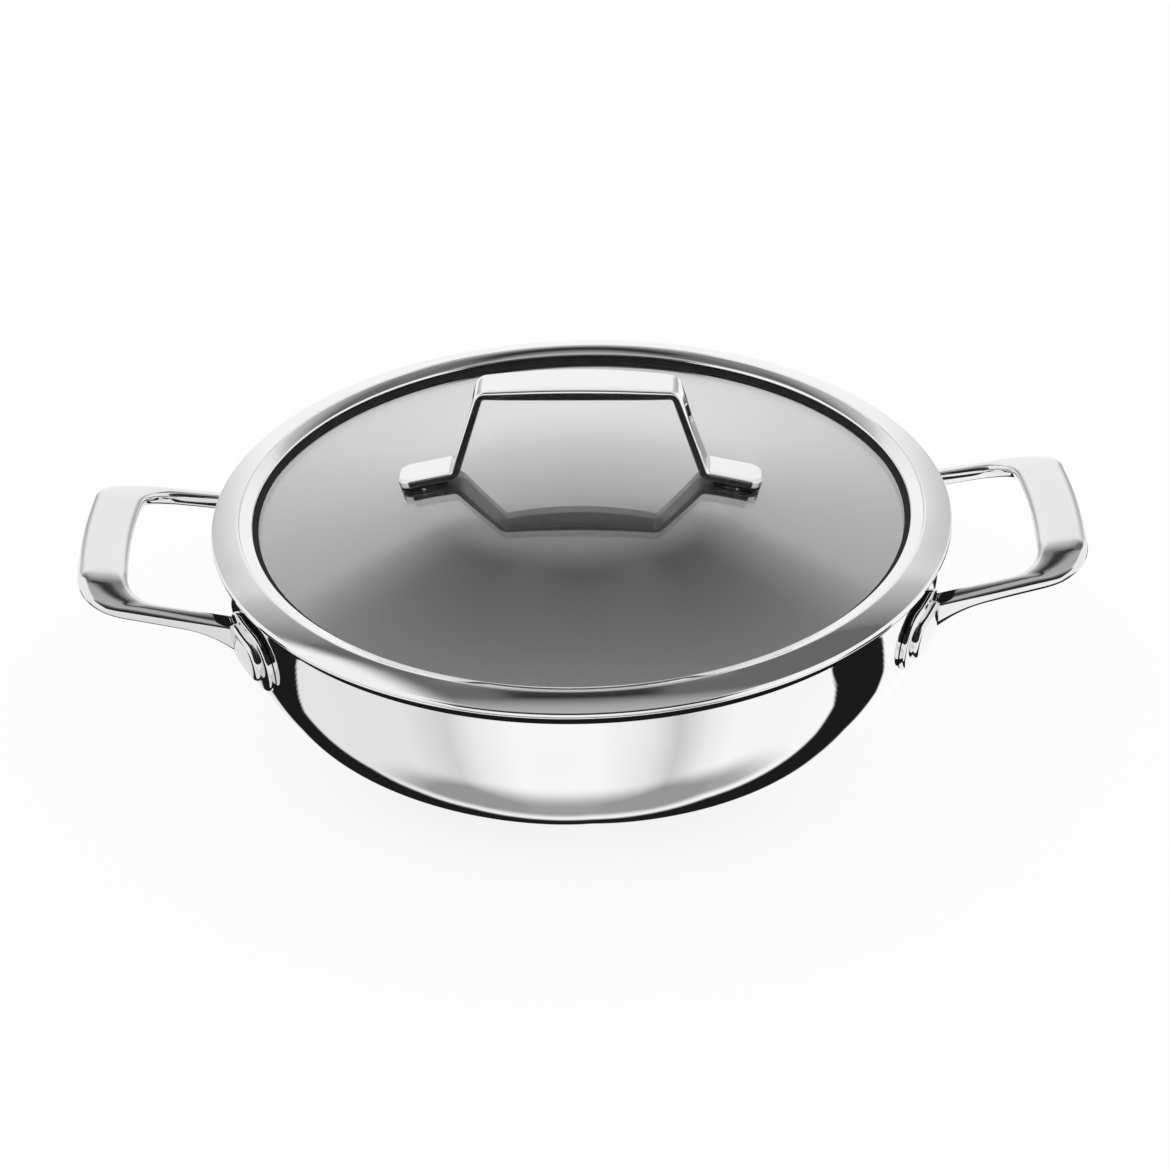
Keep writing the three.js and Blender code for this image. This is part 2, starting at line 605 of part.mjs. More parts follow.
function makePan() {
  const pan = new THREE.Group();
  pan.add(piece('base_cap', makeBaseCap(), brushedSteel));
  pan.add(piece('base_core', makeBaseCore(), aluminium));
  pan.add(piece('pan_body', makeBowl(), polishedSteel));
  for (const [name, turn] of [['handle_right', 0], ['handle_left', Math.PI]]) {
    const handle = piece(name, makeHandle(), castSteel);
    handle.rotation.z = turn;
    pan.add(handle);
  }
  return pan;
}

function makeLid() {
  const lid = new THREE.Group();
  lid.rotation.z = LID_TURN;
  lid.add(piece('lid_ring', makeRing(), polishedSteel));
  lid.add(piece('lid_glass', makeGlass(), glass));
  lid.add(piece('lid_handle', makeStrap(), polishedSteel));
  for (const [end, side] of [['right', 1], ['left', -1]]) {
    lid.add(atHole(piece(`pad_${end}`, makePad(side), silicone), side));
    lid.add(atHole(piece(`bushing_${end}`, makeBushing(), silicone), side));
    lid.add(atHole(piece(`washer_${end}`, makeWasher(), brushedSteel), side));
    lid.add(atHole(piece(`nut_${end}`, makeNut(), brushedSteel), side));
  }
  return lid;
}

const braisingPan = new THREE.Group();
braisingPan.add(makePan(), makeLid());

export default braisingPan;
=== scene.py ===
"""Looks of a braising pan with two loop handles and a domed glass lid.

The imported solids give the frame. Every piece is built again here with rounded edges and a
procedural finish, in the place of its solid, and rides on the same body. Sizes are in
millimetres until a mesh is made.
"""

import logging
import math
from collections.abc import Callable, Sequence
from dataclasses import dataclass, field
from enum import Enum

import bmesh
import bpy
from mathutils import Matrix, Vector


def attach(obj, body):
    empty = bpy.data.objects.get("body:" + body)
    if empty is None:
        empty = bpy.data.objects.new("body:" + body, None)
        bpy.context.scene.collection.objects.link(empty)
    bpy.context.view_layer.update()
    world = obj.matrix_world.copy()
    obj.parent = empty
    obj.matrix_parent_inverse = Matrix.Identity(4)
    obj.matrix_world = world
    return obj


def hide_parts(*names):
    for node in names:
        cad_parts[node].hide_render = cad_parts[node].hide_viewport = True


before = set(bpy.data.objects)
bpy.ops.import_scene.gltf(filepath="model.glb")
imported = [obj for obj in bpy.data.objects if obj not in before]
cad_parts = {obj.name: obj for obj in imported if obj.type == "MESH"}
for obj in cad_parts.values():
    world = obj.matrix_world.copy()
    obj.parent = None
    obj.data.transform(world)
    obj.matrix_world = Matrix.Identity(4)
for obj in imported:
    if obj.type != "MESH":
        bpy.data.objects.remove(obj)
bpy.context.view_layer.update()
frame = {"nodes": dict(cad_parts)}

Point2 = tuple[float, float]
Corner = tuple[float, float, float]
Colour = tuple[float, float, float]
Triple = tuple[float, float, float]
Span = tuple[float, float, float, float]
Stop = tuple[float, Colour]
Stops = tuple[Point2, ...]
Ring = list[Vector]

LOG = logging.getLogger("braising_pan")
# A millimetre in metres.
MM = 0.001
# The shortest edge that a cut leaves, in metres.
SLIVER = 2e-6
# Lengths in millimetres below this count as nothing.
TINY = 1e-9
# Faces that meet at more than this are shaded with a sharp edge.
SHARP_EDGE = math.radians(38)
# The part of a noise's values that colours and roughness are spread over.
NOISE_SPAN: Point2 = (0.3, 0.7)
EVEN: Triple = (1.0, 1.0, 1.0)
IN_PLACE = Matrix.Identity(4).freeze()


class Body(Enum):
    """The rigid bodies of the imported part."""

    PAN = "pan"
    LID = "lid"


class Slot(Enum):
    """The record's material slots."""

    POLISHED = "polished_steel"
    CAST = "cast_steel"
    BRUSHED = "brushed_steel"
    ALUMINIUM = "aluminium"
    GLASS = "glass"
    SILICONE = "silicone"


class Side(Enum):
    """The two ends of the object along X."""

    RIGHT = 1
    LEFT = -1

    @property
    def word(self) -> str:
        """Name of the side as the nodes write it."""
        return self.name.lower()


class Join(Enum):
    """How two solids are combined."""

    UNION = "UNION"
    DIFFERENCE = "DIFFERENCE"


# Shapes


def rounded(corners: Sequence[Corner], steps: int = 6) -> list[Point2]:
    """Rounds the corners of an open path with arcs.

    Args:
        corners: Points with the radius that each one is rounded to.
        steps: Segments of each arc.

    Returns:
        The points of the rounded path.
    """
    path: list[Point2] = []
    for i, (x, y, radius) in enumerate(corners):
        if radius <= 0 or i in (0, len(corners) - 1):
            path.append((x, y))
            continue
        corner = Vector((x, y))
        back = (Vector(corners[i - 1][:2]) - corner).normalized()
        ahead = (Vector(corners[i + 1][:2]) - corner).normalized()
        half = back.angle(ahead) / 2
        centre = corner + (back + ahead).normalized() * (radius / math.sin(half))
        start = corner + back * (radius / math.tan(half)) - centre
        turn = math.pi - 2 * half
        sign = 1 if back.cross(ahead) < 0 else -1
        for k in range(steps + 1):
            spun = Matrix.Rotation(sign * turn * k / steps, 2) @ start
            path.append(tuple(centre + spun))
    return path


def quarter(steps: int) -> list[float]:
    """Angles of a quarter turn in even steps, from 0 on."""
    return [k / steps * math.pi / 2 for k in range(steps + 1)]


def circle(radius: float, height: float, sides: int) -> Ring:
    """Points of a circle round Z."""
    angles = [2 * math.pi * k / sides for k in range(sides)]
    return [Vector((radius * math.cos(a), radius * math.sin(a), height)) for a in angles]


def quadratic(start: Vector, corner: Vector, end: Vector, steps: int) -> list[Point2]:
    """Points of a curve that runs from start towards corner and on to end, with both ends."""
    shares = [k / steps for k in range(steps + 1)]
    return [tuple(start.lerp(corner, s).lerp(corner.lerp(end, s), s)) for s in shares]


def offset(path: Sequence[Point2], distance: float) -> list[Point2]:
    """Moves a path sideways, to the left of its direction.

    Args:
        path: Points in order.
        distance: How far each point moves.

    Returns:
        The moved points.
    """
    moved: list[Point2] = []
    for i, (x, y) in enumerate(path):
        before = path[max(i - 1, 0)]
        after = path[min(i + 1, len(path) - 1)]
        run, rise = after[0] - before[0], after[1] - before[1]
        length = math.hypot(run, rise)
        moved.append((x - rise / length * distance, y + run / length * distance))
    return moved


def rounded_rectangle(
    low: Point2, high: Point2, radius: float, corner_steps: int = 6, side_steps: int = 8
) -> list[Point2]:
    """Outline of a rectangle with round corners, counter-clockwise.

    Args:
        low: Lower left corner.
        high: Upper right corner.
        radius: Radius of the corners.
        corner_steps: Segments of each corner.
        side_steps: Segments of each straight side.

    Returns:
        The points of the outline. Their number doesn't depend on the sizes.
    """
    centres = [
        (high[0] - radius, low[1] + radius, -90.0),
        (high[0] - radius, high[1] - radius, 0.0),
        (low[0] + radius, high[1] - radius, 90.0),
        (low[0] + radius, low[1] + radius, 180.0),
    ]
    arcs: list[list[Point2]] = []
    for x, y, start in centres:
        angles = [math.radians(start + 90 * k / corner_steps) for k in range(corner_steps + 1)]
        arcs.append([(x + radius * math.cos(a), y + radius * math.sin(a)) for a in angles])
    outline: list[Point2] = []
    for arc, following in zip(arcs, arcs[1:] + arcs[:1]):
        outline.extend(arc)
        start, end = Vector(arc[-1]), Vector(following[0])
        outline.extend(tuple(start.lerp(end, k / side_steps)) for k in range(1, side_steps))
    return outline


class Surface:
    """A closed mesh under construction, in millimetres."""

    def __init__(self) -> None:
        """Starts with no points and no faces."""
        self.points: list[Vector] = []
        self.faces: list[tuple[int, ...]] = []
        self.finishes: list[int] = []

    def ring(self, points: Sequence[Vector]) -> list[int]:
        """Adds a ring of points.

        Args:
            points: The points in order.

        Returns:
            The points' numbers.
        """
        first = len(self.points)
        self.points.extend(points)
        return list(range(first, len(self.points)))

    def bridge(self, one: list[int], other: list[int], finish: int = 0) -> None:
        """Joins two rings with faces. A ring of one point makes a fan.

        Args:
            one: Numbers of the first ring's points.
            other: Numbers of the second ring's points.
            finish: Place of the faces' finish in the piece's list.
        """
        count = max(len(one), len(other))
        for i in range(count):
            k = (i + 1) % count
            corners = [one[i % len(one)], one[k % len(one)]]
            corners += [other[k % len(other)], other[i % len(other)]]
            self.faces.append(tuple(dict.fromkeys(corners)))
            self.finishes.append(finish)

    def cap(self, ring: list[int]) -> None:
        """Closes a ring with one flat face."""
        self.faces.append(tuple(ring))
        self.finishes.append(0)

    def mesh(self, name: str, place: Matrix = IN_PLACE) -> bpy.types.Mesh:
        """Makes the mesh in metres.

        Args:
            name: Name of the mesh.
            place: Where the surface goes, in millimetres.

        Returns:
            The mesh, with its faces turned outwards.
        """
        mesh = bpy.data.meshes.new(name)
        placed = [(place @ point) * MM for point in self.points]
        mesh.from_pydata(placed, [], self.faces)
        mesh.polygons.foreach_set("material_index", self.finishes)
        form = bmesh.new()
        form.from_mesh(mesh)
        bmesh.ops.recalc_face_normals(form, faces=form.faces)
        form.to_mesh(mesh)
        form.free()
        return mesh


def revolve(
    profile: Sequence[Point2],
    sides: int,
    closed: bool = False,
    finish_of: Callable[[int], int] = lambda segment: 0,
) -> Surface:
    """Turns a profile of radius and height about Z.

    Args:
        profile: Points in order. A radius of 0 is a point on the axis.
        sides: Number of faces round the axis.
        closed: Whether the last point joins the first.
        finish_of: Gives the place of a segment's finish from the segment's number.

    Returns:
        The surface.
    """
    surface = Surface()
    rings: list[list[int]] = []
    for radius, height in profile:
        rings.append(surface.ring(circle(radius, height, sides if radius > TINY else 1)))
    for i, (one, other) in enumerate(zip(rings, rings[1:])):
        surface.bridge(one, other, finish_of(i))
    if closed:
        surface.bridge(rings[-1], rings[0], finish_of(len(rings) - 1))
    return surface


def loft(rings: Sequence[Ring]) -> Surface:
    """Joins rings of points into a body with flat ends.

    Args:
        rings: Rings with the same number of points.

    Returns:
        The surface.
    """
    surface = Surface()
    numbers = [surface.ring(points) for points in rings]
    for one, other in zip(numbers, numbers[1:]):
        surface.bridge(one, other)
    surface.cap(numbers[0])
    surface.cap(numbers[-1])
    return surface


def combine(target: bpy.types.Object, tool: bpy.types.Object, join: Join) -> None:
    """Joins a tool to an object or cuts it away, and removes the tool.

    Args:
        target: The object that is changed.
        tool: The object that is joined or cut away.
        join: What is done with the tool.
    """
    modifier = target.modifiers.new("combine", "BOOLEAN")
    modifier.operation = join.value
    modifier.solver = "EXACT"
    modifier.object = tool
    evaluated = target.evaluated_get(bpy.context.evaluated_depsgraph_get())
    mesh = bpy.data.meshes.new_from_object(evaluated)
    form = bmesh.new()
    form.from_mesh(mesh)
    bmesh.ops.remove_doubles(form, verts=form.verts, dist=SLIVER)
    bmesh.ops.dissolve_degenerate(form, dist=SLIVER, edges=form.edges)
    form.to_mesh(mesh)
    form.free()
    target.modifiers.clear()
    target.data = mesh
    bpy.data.objects.remove(tool)


def bare_object(mesh: bpy.types.Mesh) -> bpy.types.Object:
    """Puts a mesh into the scene as an object of the same name.

    Args:
        mesh: The mesh.

    Returns:
        The object.
    """
    obj = bpy.data.objects.new(mesh.name, mesh)
    bpy.context.scene.collection.objects.link(obj)
    return obj


# Finishes


def empty_material(name: str) -> tuple[bpy.types.Material, bpy.types.NodeTree]:
    """Makes a material without nodes.

    Args:
        name: Name of the material.

    Returns:
        The material and its tree.
    """
    material = bpy.data.materials.new(name)
    material.use_nodes = True
    material.node_tree.nodes.clear()
    return material, material.node_tree


class Nodes:
    """A small writer for a material's nodes."""

    def __init__(self, name: str) -> None:
        """Makes the material with its shader and output.

        Args:
            name: Name of the material.
        """
        self.material, self.tree = empty_material(name)
        self.shader = self.tree.nodes.new("ShaderNodeBsdfPrincipled")
        self.output = self.tree.nodes.new("ShaderNodeOutputMaterial")
        self.link(self.shader.outputs["BSDF"], self.output.inputs["Surface"])
        self.place = self.tree.nodes.new("ShaderNodeTexCoord").outputs["Object"]

    def link(self, source: bpy.types.NodeSocket, target: bpy.types.NodeSocket) -> None:
        """Links two sockets."""
        self.tree.links.new(source, target)

    def set(self, socket: str, value: float) -> None:
        """Sets a number of the shader that is the same all over."""
        self.shader.inputs[socket].default_value = value

    def noise(self, scale: float, detail: float, stretch: Triple = EVEN) -> bpy.types.NodeSocket:
        """Adds a noise and gives its value.

        Args:
            scale: Number of features in a metre.
            detail: Number of finer layers.
            stretch: How much denser the features are along each axis.

        Returns:
            The noise's value, from 0 to 1.
        """
        noise = self.tree.nodes.new("ShaderNodeTexNoise")
        noise.inputs["Scale"].default_value = scale
        noise.inputs["Detail"].default_value = detail
        place = self.place
        if stretch != EVEN:
            mapping = self.tree.nodes.new("ShaderNodeMapping")
            mapping.inputs["Scale"].default_value = stretch
            self.link(place, mapping.inputs["Vector"])
            place = mapping.outputs["Vector"]
        self.link(place, noise.inputs["Vector"])
        return noise.outputs["Fac"]

    def stops(self, value: bpy.types.NodeSocket, stops: Sequence[Stop]) -> bpy.types.NodeSocket:
        """Turns a value into a colour.

        Args:
            value: The value, from 0 to 1.
            stops: Values in rising order, with the colour at each.

        Returns:
            The colour.
        """
        ramp = self.tree.nodes.new("ShaderNodeValToRGB")
        elements = ramp.color_ramp.elements
        while len(elements) < len(stops):
            elements.new(1.0)
        for element, (place, colour) in zip(elements, stops):
            element.position = place
            element.color = (*colour, 1.0)
        self.link(value, ramp.inputs["Fac"])
        return ramp.outputs["Color"]

    def colour(self, value: bpy.types.NodeSocket, dark: Colour, light: Colour) -> None:
        """Sets the base colour between two colours by a noise."""
        blend = self.stops(value, tuple(zip(NOISE_SPAN, (dark, light))))
        self.link(blend, self.shader.inputs["Base Color"])

    def roughness(self, value: bpy.types.NodeSocket, limits: Point2) -> None:
        """Sets the roughness between two limits by a noise.

        Args:
            value: The noise.
            limits: The roughness where the noise is low, and where it is high.
        """
        spread = self.tree.nodes.new("ShaderNodeMapRange")
        for end, place, limit in zip(("Min", "Max"), NOISE_SPAN, limits):
            spread.inputs[f"From {end}"].default_value = place
            spread.inputs[f"To {end}"].default_value = limit
        self.link(value, spread.inputs["Value"])
        self.link(spread.outputs["Result"], self.shader.inputs["Roughness"])

    def bump(self, value: bpy.types.NodeSocket, strength: float, depth: float) -> None:
        """Raises the surface a little.

        Args:
            value: Height of the surface, from 0 to 1.
            strength: How strongly it shows.
            depth: Height in millimetres.
        """
        bump = self.tree.nodes.new("ShaderNodeBump")
        bump.inputs["Strength"].default_value = strength
        bump.inputs["Distance"].default_value = depth * MM
        self.link(value, bump.inputs["Height"])
        self.link(bump.outputs["Normal"], self.shader.inputs["Normal"])

    def gloss(self, shares: Sequence[Point2], tint: Colour, roughness: float) -> None:
        """Lays a mirror coat over the shader that grows towards grazing angles.

        Args:
            shares: How far the surface turns from the viewer, with the coat's share there.
            tint: Colour of the coat.
            roughness: Roughness of the coat.
        """
        turn = self.tree.nodes.new("ShaderNodeLayerWeight")
        share = self.stops(turn.outputs["Facing"], [(place, (v, v, v)) for place, v in shares])
        coat = self.tree.nodes.new("ShaderNodeBsdfGlossy")
        coat.inputs["Color"].default_value = (*tint, 1.0)
        coat.inputs["Roughness"].default_value = roughness
        mix = self.tree.nodes.new("ShaderNodeMixShader")
        self.link(share, mix.inputs["Fac"])
        self.link(self.shader.outputs["BSDF"], mix.inputs[1])
        self.link(coat.outputs["BSDF"], mix.inputs[2])
        self.link(mix.outputs["Shader"], self.output.inputs["Surface"])


@dataclass(frozen=True)
class Metal:
    """A bare metal, from mirror polish to satin and plain."""

    name: str
    dark: Colour
    light: Colour
    roughness: Point2
    grain: float
    relief: float
    depth: float
    stretch: Triple = EVEN
    clouds: float = 22.0

    def material(self) -> bpy.types.Material:
        """Makes the material: cloudy colour, uneven gloss and polishing marks.

        Returns:
            The material.
        """
        nodes = Nodes(self.name)
        nodes.set("Metallic", 1.0)
        nodes.colour(nodes.noise(self.clouds, 2.0), self.dark, self.light)
        marks = nodes.noise(self.grain, 3.0, self.stretch)
        nodes.roughness(marks, self.roughness)
        nodes.bump(marks, self.relief, self.depth)
        return nodes.material


@dataclass(frozen=True)
class ClearGlass:
    """Toughened lid glass."""

    name: str = "lid_glass_clear"
    dark: Colour = (0.9, 0.915, 0.91)
    light: Colour = (0.93, 0.94, 0.935)
    roughness: Point2 = (0.0, 0.01)
    clouds: float = 9.0
    clearness: float = 0.975
    ior: float = 1.5
    coat: Stops = (
        (0.0, 0.23),
        (0.38, 0.235),
        (0.44, 0.235),
        (0.5, 0.27),
        (0.57, 0.36),
        (0.63, 0.48),
        (1.0, 0.75),
    )
    coat_tint: Colour = (0.95, 0.955, 0.955)
    coat_roughness: float = 0.01

    def material(self) -> bpy.types.Material:
        """Makes the material: clear, with a faint haze and a reflecting coat.

        Returns:
            The material.
        """
        nodes = Nodes(self.name)
        nodes.set("Transmission Weight", self.clearness)
        nodes.set("IOR", self.ior)
        clouds = nodes.noise(self.clouds, 1.0)
        nodes.colour(clouds, self.dark, self.light)
        nodes.roughness(clouds, self.roughness)
        nodes.gloss(self.coat, self.coat_tint, self.coat_roughness)
        return nodes.material


@dataclass(frozen=True)
class PanCoating:
    """Dark, hard coating of the cooking surface."""

    name: str = "pan_coating"
    dark: Colour = (0.03, 0.031, 0.032)
    light: Colour = (0.036, 0.037, 0.038)
    roughness: Point2 = (0.42, 0.52)
    flecks: float = 90.0
    sheen: float = 60.0
    relief: float = 0.01
    depth: float = 0.02

    def material(self) -> bpy.types.Material:
        """Makes the material: near black with fine flecks and an uneven sheen.

        Returns:
            The material.
        """
        nodes = Nodes(self.name)
        flecks = nodes.noise(self.flecks, 2.0)
        nodes.colour(flecks, self.dark, self.light)
        nodes.roughness(nodes.noise(self.sheen, 3.0), self.roughness)
        nodes.bump(flecks, self.relief, self.depth)
        return nodes.material


@dataclass(frozen=True)
class Silicone:
    """Matt black silicone rubber."""

    name: str = "silicone_black"
    dark: Colour = (0.008, 0.008, 0.0084)
    light: Colour = (0.015, 0.015, 0.0155)
    roughness: Point2 = (0.55, 0.75)
    ior: float = 1.41
    specular: float = 0.25
    clouds: float = 150.0
    grain: float = 1800.0
    relief: float = 0.2
    depth: float = 0.1

    def material(self) -> bpy.types.Material:
        """Makes the material: mottled black with a fine dry grain.

        Returns:
            The material.
        """
        nodes = Nodes(self.name)
        nodes.set("IOR", self.ior)
        nodes.set("Specular IOR Level", self.specular)
        nodes.colour(nodes.noise(self.clouds, 2.0), self.dark, self.light)
        grain = nodes.noise(self.grain, 2.0)
        nodes.roughness(grain, self.roughness)
        nodes.bump(grain, self.relief, self.depth)
        return nodes.material


@dataclass
class Finishes:
    """The materials that the pieces share."""

    mirror: bpy.types.Material = field(init=False)
    cast: bpy.types.Material = field(init=False)
    blasted: bpy.types.Material = field(init=False)
    satin: bpy.types.Material = field(init=False)
    aluminium: bpy.types.Material = field(init=False)
    coating: bpy.types.Material = field(init=False)
    glass: bpy.types.Material = field(init=False)
    silicone: bpy.types.Material = field(init=False)

    def __post_init__(self) -> None:
        """Makes every material once."""
        self.mirror = Metal(
            "steel_mirror",
            dark=(0.86, 0.865, 0.87),
            light=(0.9, 0.9, 0.9),
            roughness=(0.02, 0.035),
            grain=260.0,
            relief=0.02,
            depth=0.02,
            stretch=(1.0, 1.0, 9.0),
        ).material()
        self.cast = Metal(
            "steel_cast",
            dark=(0.78, 0.785, 0.79),
            light=(0.83, 0.83, 0.83),
            roughness=(0.04, 0.07),
            grain=420.0,
            relief=0.03,
            depth=0.04,
        ).material()
        # A darker, rougher copy of the polished steel for the strap's underside: painted shade,
        # which darkens the strap's reflection in the glass.
        self.blasted = Metal(
            "steel_blasted",
            dark=(0.3, 0.303, 0.306),
            light=(0.36, 0.36, 0.36),
            roughness=(0.4, 0.5),
            grain=900.0,
            relief=0.1,
            depth=0.03,
        ).material()
        self.satin = Metal(
            "steel_satin",
            dark=(0.6, 0.605, 0.61),
            light=(0.68, 0.68, 0.68),
            roughness=(0.34, 0.44),
            grain=600.0,
            relief=0.1,
            depth=0.03,
            stretch=(1.0, 1.0, 12.0),
        ).material()
        self.aluminium = Metal(
            "aluminium_plain",
            dark=(0.7, 0.71, 0.72),
            light=(0.78, 0.78, 0.78),
            roughness=(0.4, 0.5),
            grain=900.0,
            relief=0.1,
            depth=0.03,
        ).material()
        self.coating = PanCoating().material()
        self.glass = ClearGlass().material()
        self.silicone = Silicone().material()


def add_piece(
    obj: bpy.types.Object,
    materials: Sequence[bpy.types.Material],
    body: Body,
    slot: Slot,
    node: str | None = None,
) -> None:
    """Dresses an object and lets it stand for its solid.

    Args:
        obj: The object with its final mesh.
        materials: Its finishes, in the order that its faces count them.
        body: The body that it rides on.
        slot: The record's material slot; not used.
        node: The solid that it stands for, if there is one.
    """
    for material in materials:
        obj.data.materials.append(material)
    obj.data.polygons.foreach_set("use_smooth", [True] * len(obj.data.polygons))
    obj.data.set_sharp_from_angle(angle=SHARP_EDGE)
    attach(obj, body.value)
    if node:
        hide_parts(node)
    LOG.info("%s stands for %s on %s", obj.name, node or "no solid", body.value)


# The pan


@dataclass(frozen=True)
class Bowl:
    """The deep-drawn bowl with its flared rim."""

    floor_radius: float = 95.0
    floor_height: float = 5.3
    radius: float = 142.7
    rim_height: float = 78.7
    wall: float = 1.2
    flare_width: float = 3.6
    flare_height: float = 5.0
    squareness: float = 2.35
    sides: int = 256
    curve_steps: int = 56
    flare_steps: int = 12
    rim_steps: int = 6

    @property
    def flare_foot(self) -> float:
        """Height where the wall starts to flare."""
        return self.rim_height - self.wall - self.flare_height

    def outside(self) -> list[Point2]:
        """Profile of the outside, from the middle of the floor to the flare's end.

        Returns:
            The profile's points, each a radius and a height.
        """
        power = 2 / self.squareness
        points = [(0.0, self.floor_height)]
        for angle in quarter(self.curve_steps):
            out = math.sin(angle) ** power
            up = 1 - max(math.cos(angle), 0.0) ** power
            radius = self.floor_radius + (self.radius - self.floor_radius) * out
            height = self.floor_height + (self.flare_foot - self.floor_height) * up
            points.append((radius, height))
        width = self.flare_width - self.wall / 2
        for angle in quarter(self.flare_steps)[1:]:
            radius = self.radius + width * (1 - math.cos(angle))
            points.append((radius, self.flare_foot + self.flare_height * math.sin(angle)))
        return points

    def radius_at(self, height: float) -> float:
        """Finds the outside radius of the wall.

        Args:
            height: A height below the flare.

        Returns:
            The radius there.
        """
        share = (height - self.floor_height) / (self.flare_foot - self.floor_height)
        share = min(max(share, 0.0), 1.0)
        out = (1 - (1 - share) ** self.squareness) ** (1 / self.squareness)
        return self.floor_radius + (self.radius - self.floor_radius) * out

    def build(self, finishes: Finishes) -> None:
        """Makes the bowl, polished outside and coated inside.

        Args:
            finishes: The materials that the pieces share.
        """
        outside = self.outside()
        inside = offset(outside, self.wall)
        inside[0] = (0.0, inside[0][1])
        centre = Vector(outside[-1]).lerp(Vector(inside[-1]), 0.5)
        half = self.wall / 2
        rim: list[Point2] = []
        for i in range(1, self.rim_steps):
            angle = -math.pi / 2 + math.pi * i / self.rim_steps
            rim.append((centre.x + half * math.cos(angle), centre.y + half * math.sin(angle)))
        profile = [*outside, *rim, *reversed(inside)]
        inner = len(outside) + len(rim) + self.flare_steps
        surface = revolve(profile, self.sides, finish_of=lambda segment: int(segment >= inner))
        obj = bare_object(surface.mesh("bowl"))
        add_piece(obj, (finishes.mirror, finishes.coating), Body.PAN, Slot.POLISHED, "pan_body")


@dataclass(frozen=True)
class Base:
    """The steel cup under the pan and the aluminium disc inside it."""

    radius: float = 96.0
    sheet: float = 0.8
    gap: float = 0.3
    core: float = 3.9
    edge: float = 1.2
    core_edge: float = 0.4
    sides: int = 192

    def build(self, finishes: Finishes) -> None:
        """Makes the cup and the disc.

        Args:
            finishes: The materials that the pieces share.
        """
        top = self.sheet + self.core + self.gap
        inner = self.radius - self.sheet
        cup = rounded(
            [
                (0.0, 0.0, 0.0),
                (self.radius, 0.0, self.edge),
                (self.radius, top, self.sheet / 3),
                (inner, top, self.sheet / 3),
                (inner, self.sheet, self.core_edge),
                (0.0, self.sheet, 0.0),
            ]
        )
        obj = bare_object(revolve(cup, self.sides).mesh("base_cup"))
        add_piece(obj, (finishes.satin,), Body.PAN, Slot.BRUSHED, "base_cap")
        reach = inner - self.gap
        bottom = self.sheet + self.gap
        disc = rounded(
            [
                (0.0, bottom, 0.0),
                (reach, bottom, self.core_edge),
                (reach, bottom + self.core, self.core_edge),
                (0.0, bottom + self.core, 0.0),
            ]
        )
        obj = bare_object(revolve(disc, self.sides).mesh("base_disc"))
        add_piece(obj, (finishes.aluminium,), Body.PAN, Slot.ALUMINIUM, "base_core")


@dataclass(frozen=True)
class WallPlate:
    """A plate bent to the bowl's wall, with round corners and edges."""

    width: float
    height: float
    thickness: float
    corner: float
    edge: float
    gap: float = 0.3
    edge_steps: int = 6
    # Rings of points inside the outline, as shares of half the height.
    rings: tuple[float, ...] = (0.9, 0.7, 0.5, 0.35)

    def surface(self, bowl: Bowl, angle: float, middle: float) -> Surface:
        """Makes the plate.

        Args:
            bowl: The bowl that it lies on.
            angle: Direction of its middle from the bowl's axis.
            middle: Height of its middle.

        Returns:
            The plate's surface.
        """
        reach = bowl.radius + self.gap + self.thickness

        def ring(inset: float, lift: float) -> Ring:
            """Lays out one ring of the plate.

            Args:
                inset: How far it lies inside the plate's edge.
                lift: How far it lies off the wall.

            Returns:
                The ring's points.
            """
            half = (self.width / 2 - inset, self.height / 2 - inset)
            radius = max(self.corner - inset, min(half) / 3)
            points: Ring = []
            for u, v in rounded_rectangle((-half[0], -half[1]), half, radius):
                away = bowl.radius_at(middle + v) + self.gap + lift
                turned = angle + math.asin(u / reach)
                x, y = away * math.cos(turned), away * math.sin(turned)
                points.append(Vector((x, y, middle + v)))
            return points

        insets = [self.height / 2 * share for share in self.rings]
        levels = [(inset, 0.0) for inset in insets] + [(0.0, 0.0)]
        for turn in quarter(self.edge_steps):
            inset = self.edge * (1 - math.cos(turn))
            levels.append((inset, self.thickness - self.edge * (1 - math.sin(turn))))
        levels += [(inset, self.thickness) for inset in reversed(insets)]
        return loft([ring(inset, lift) for inset, lift in levels])


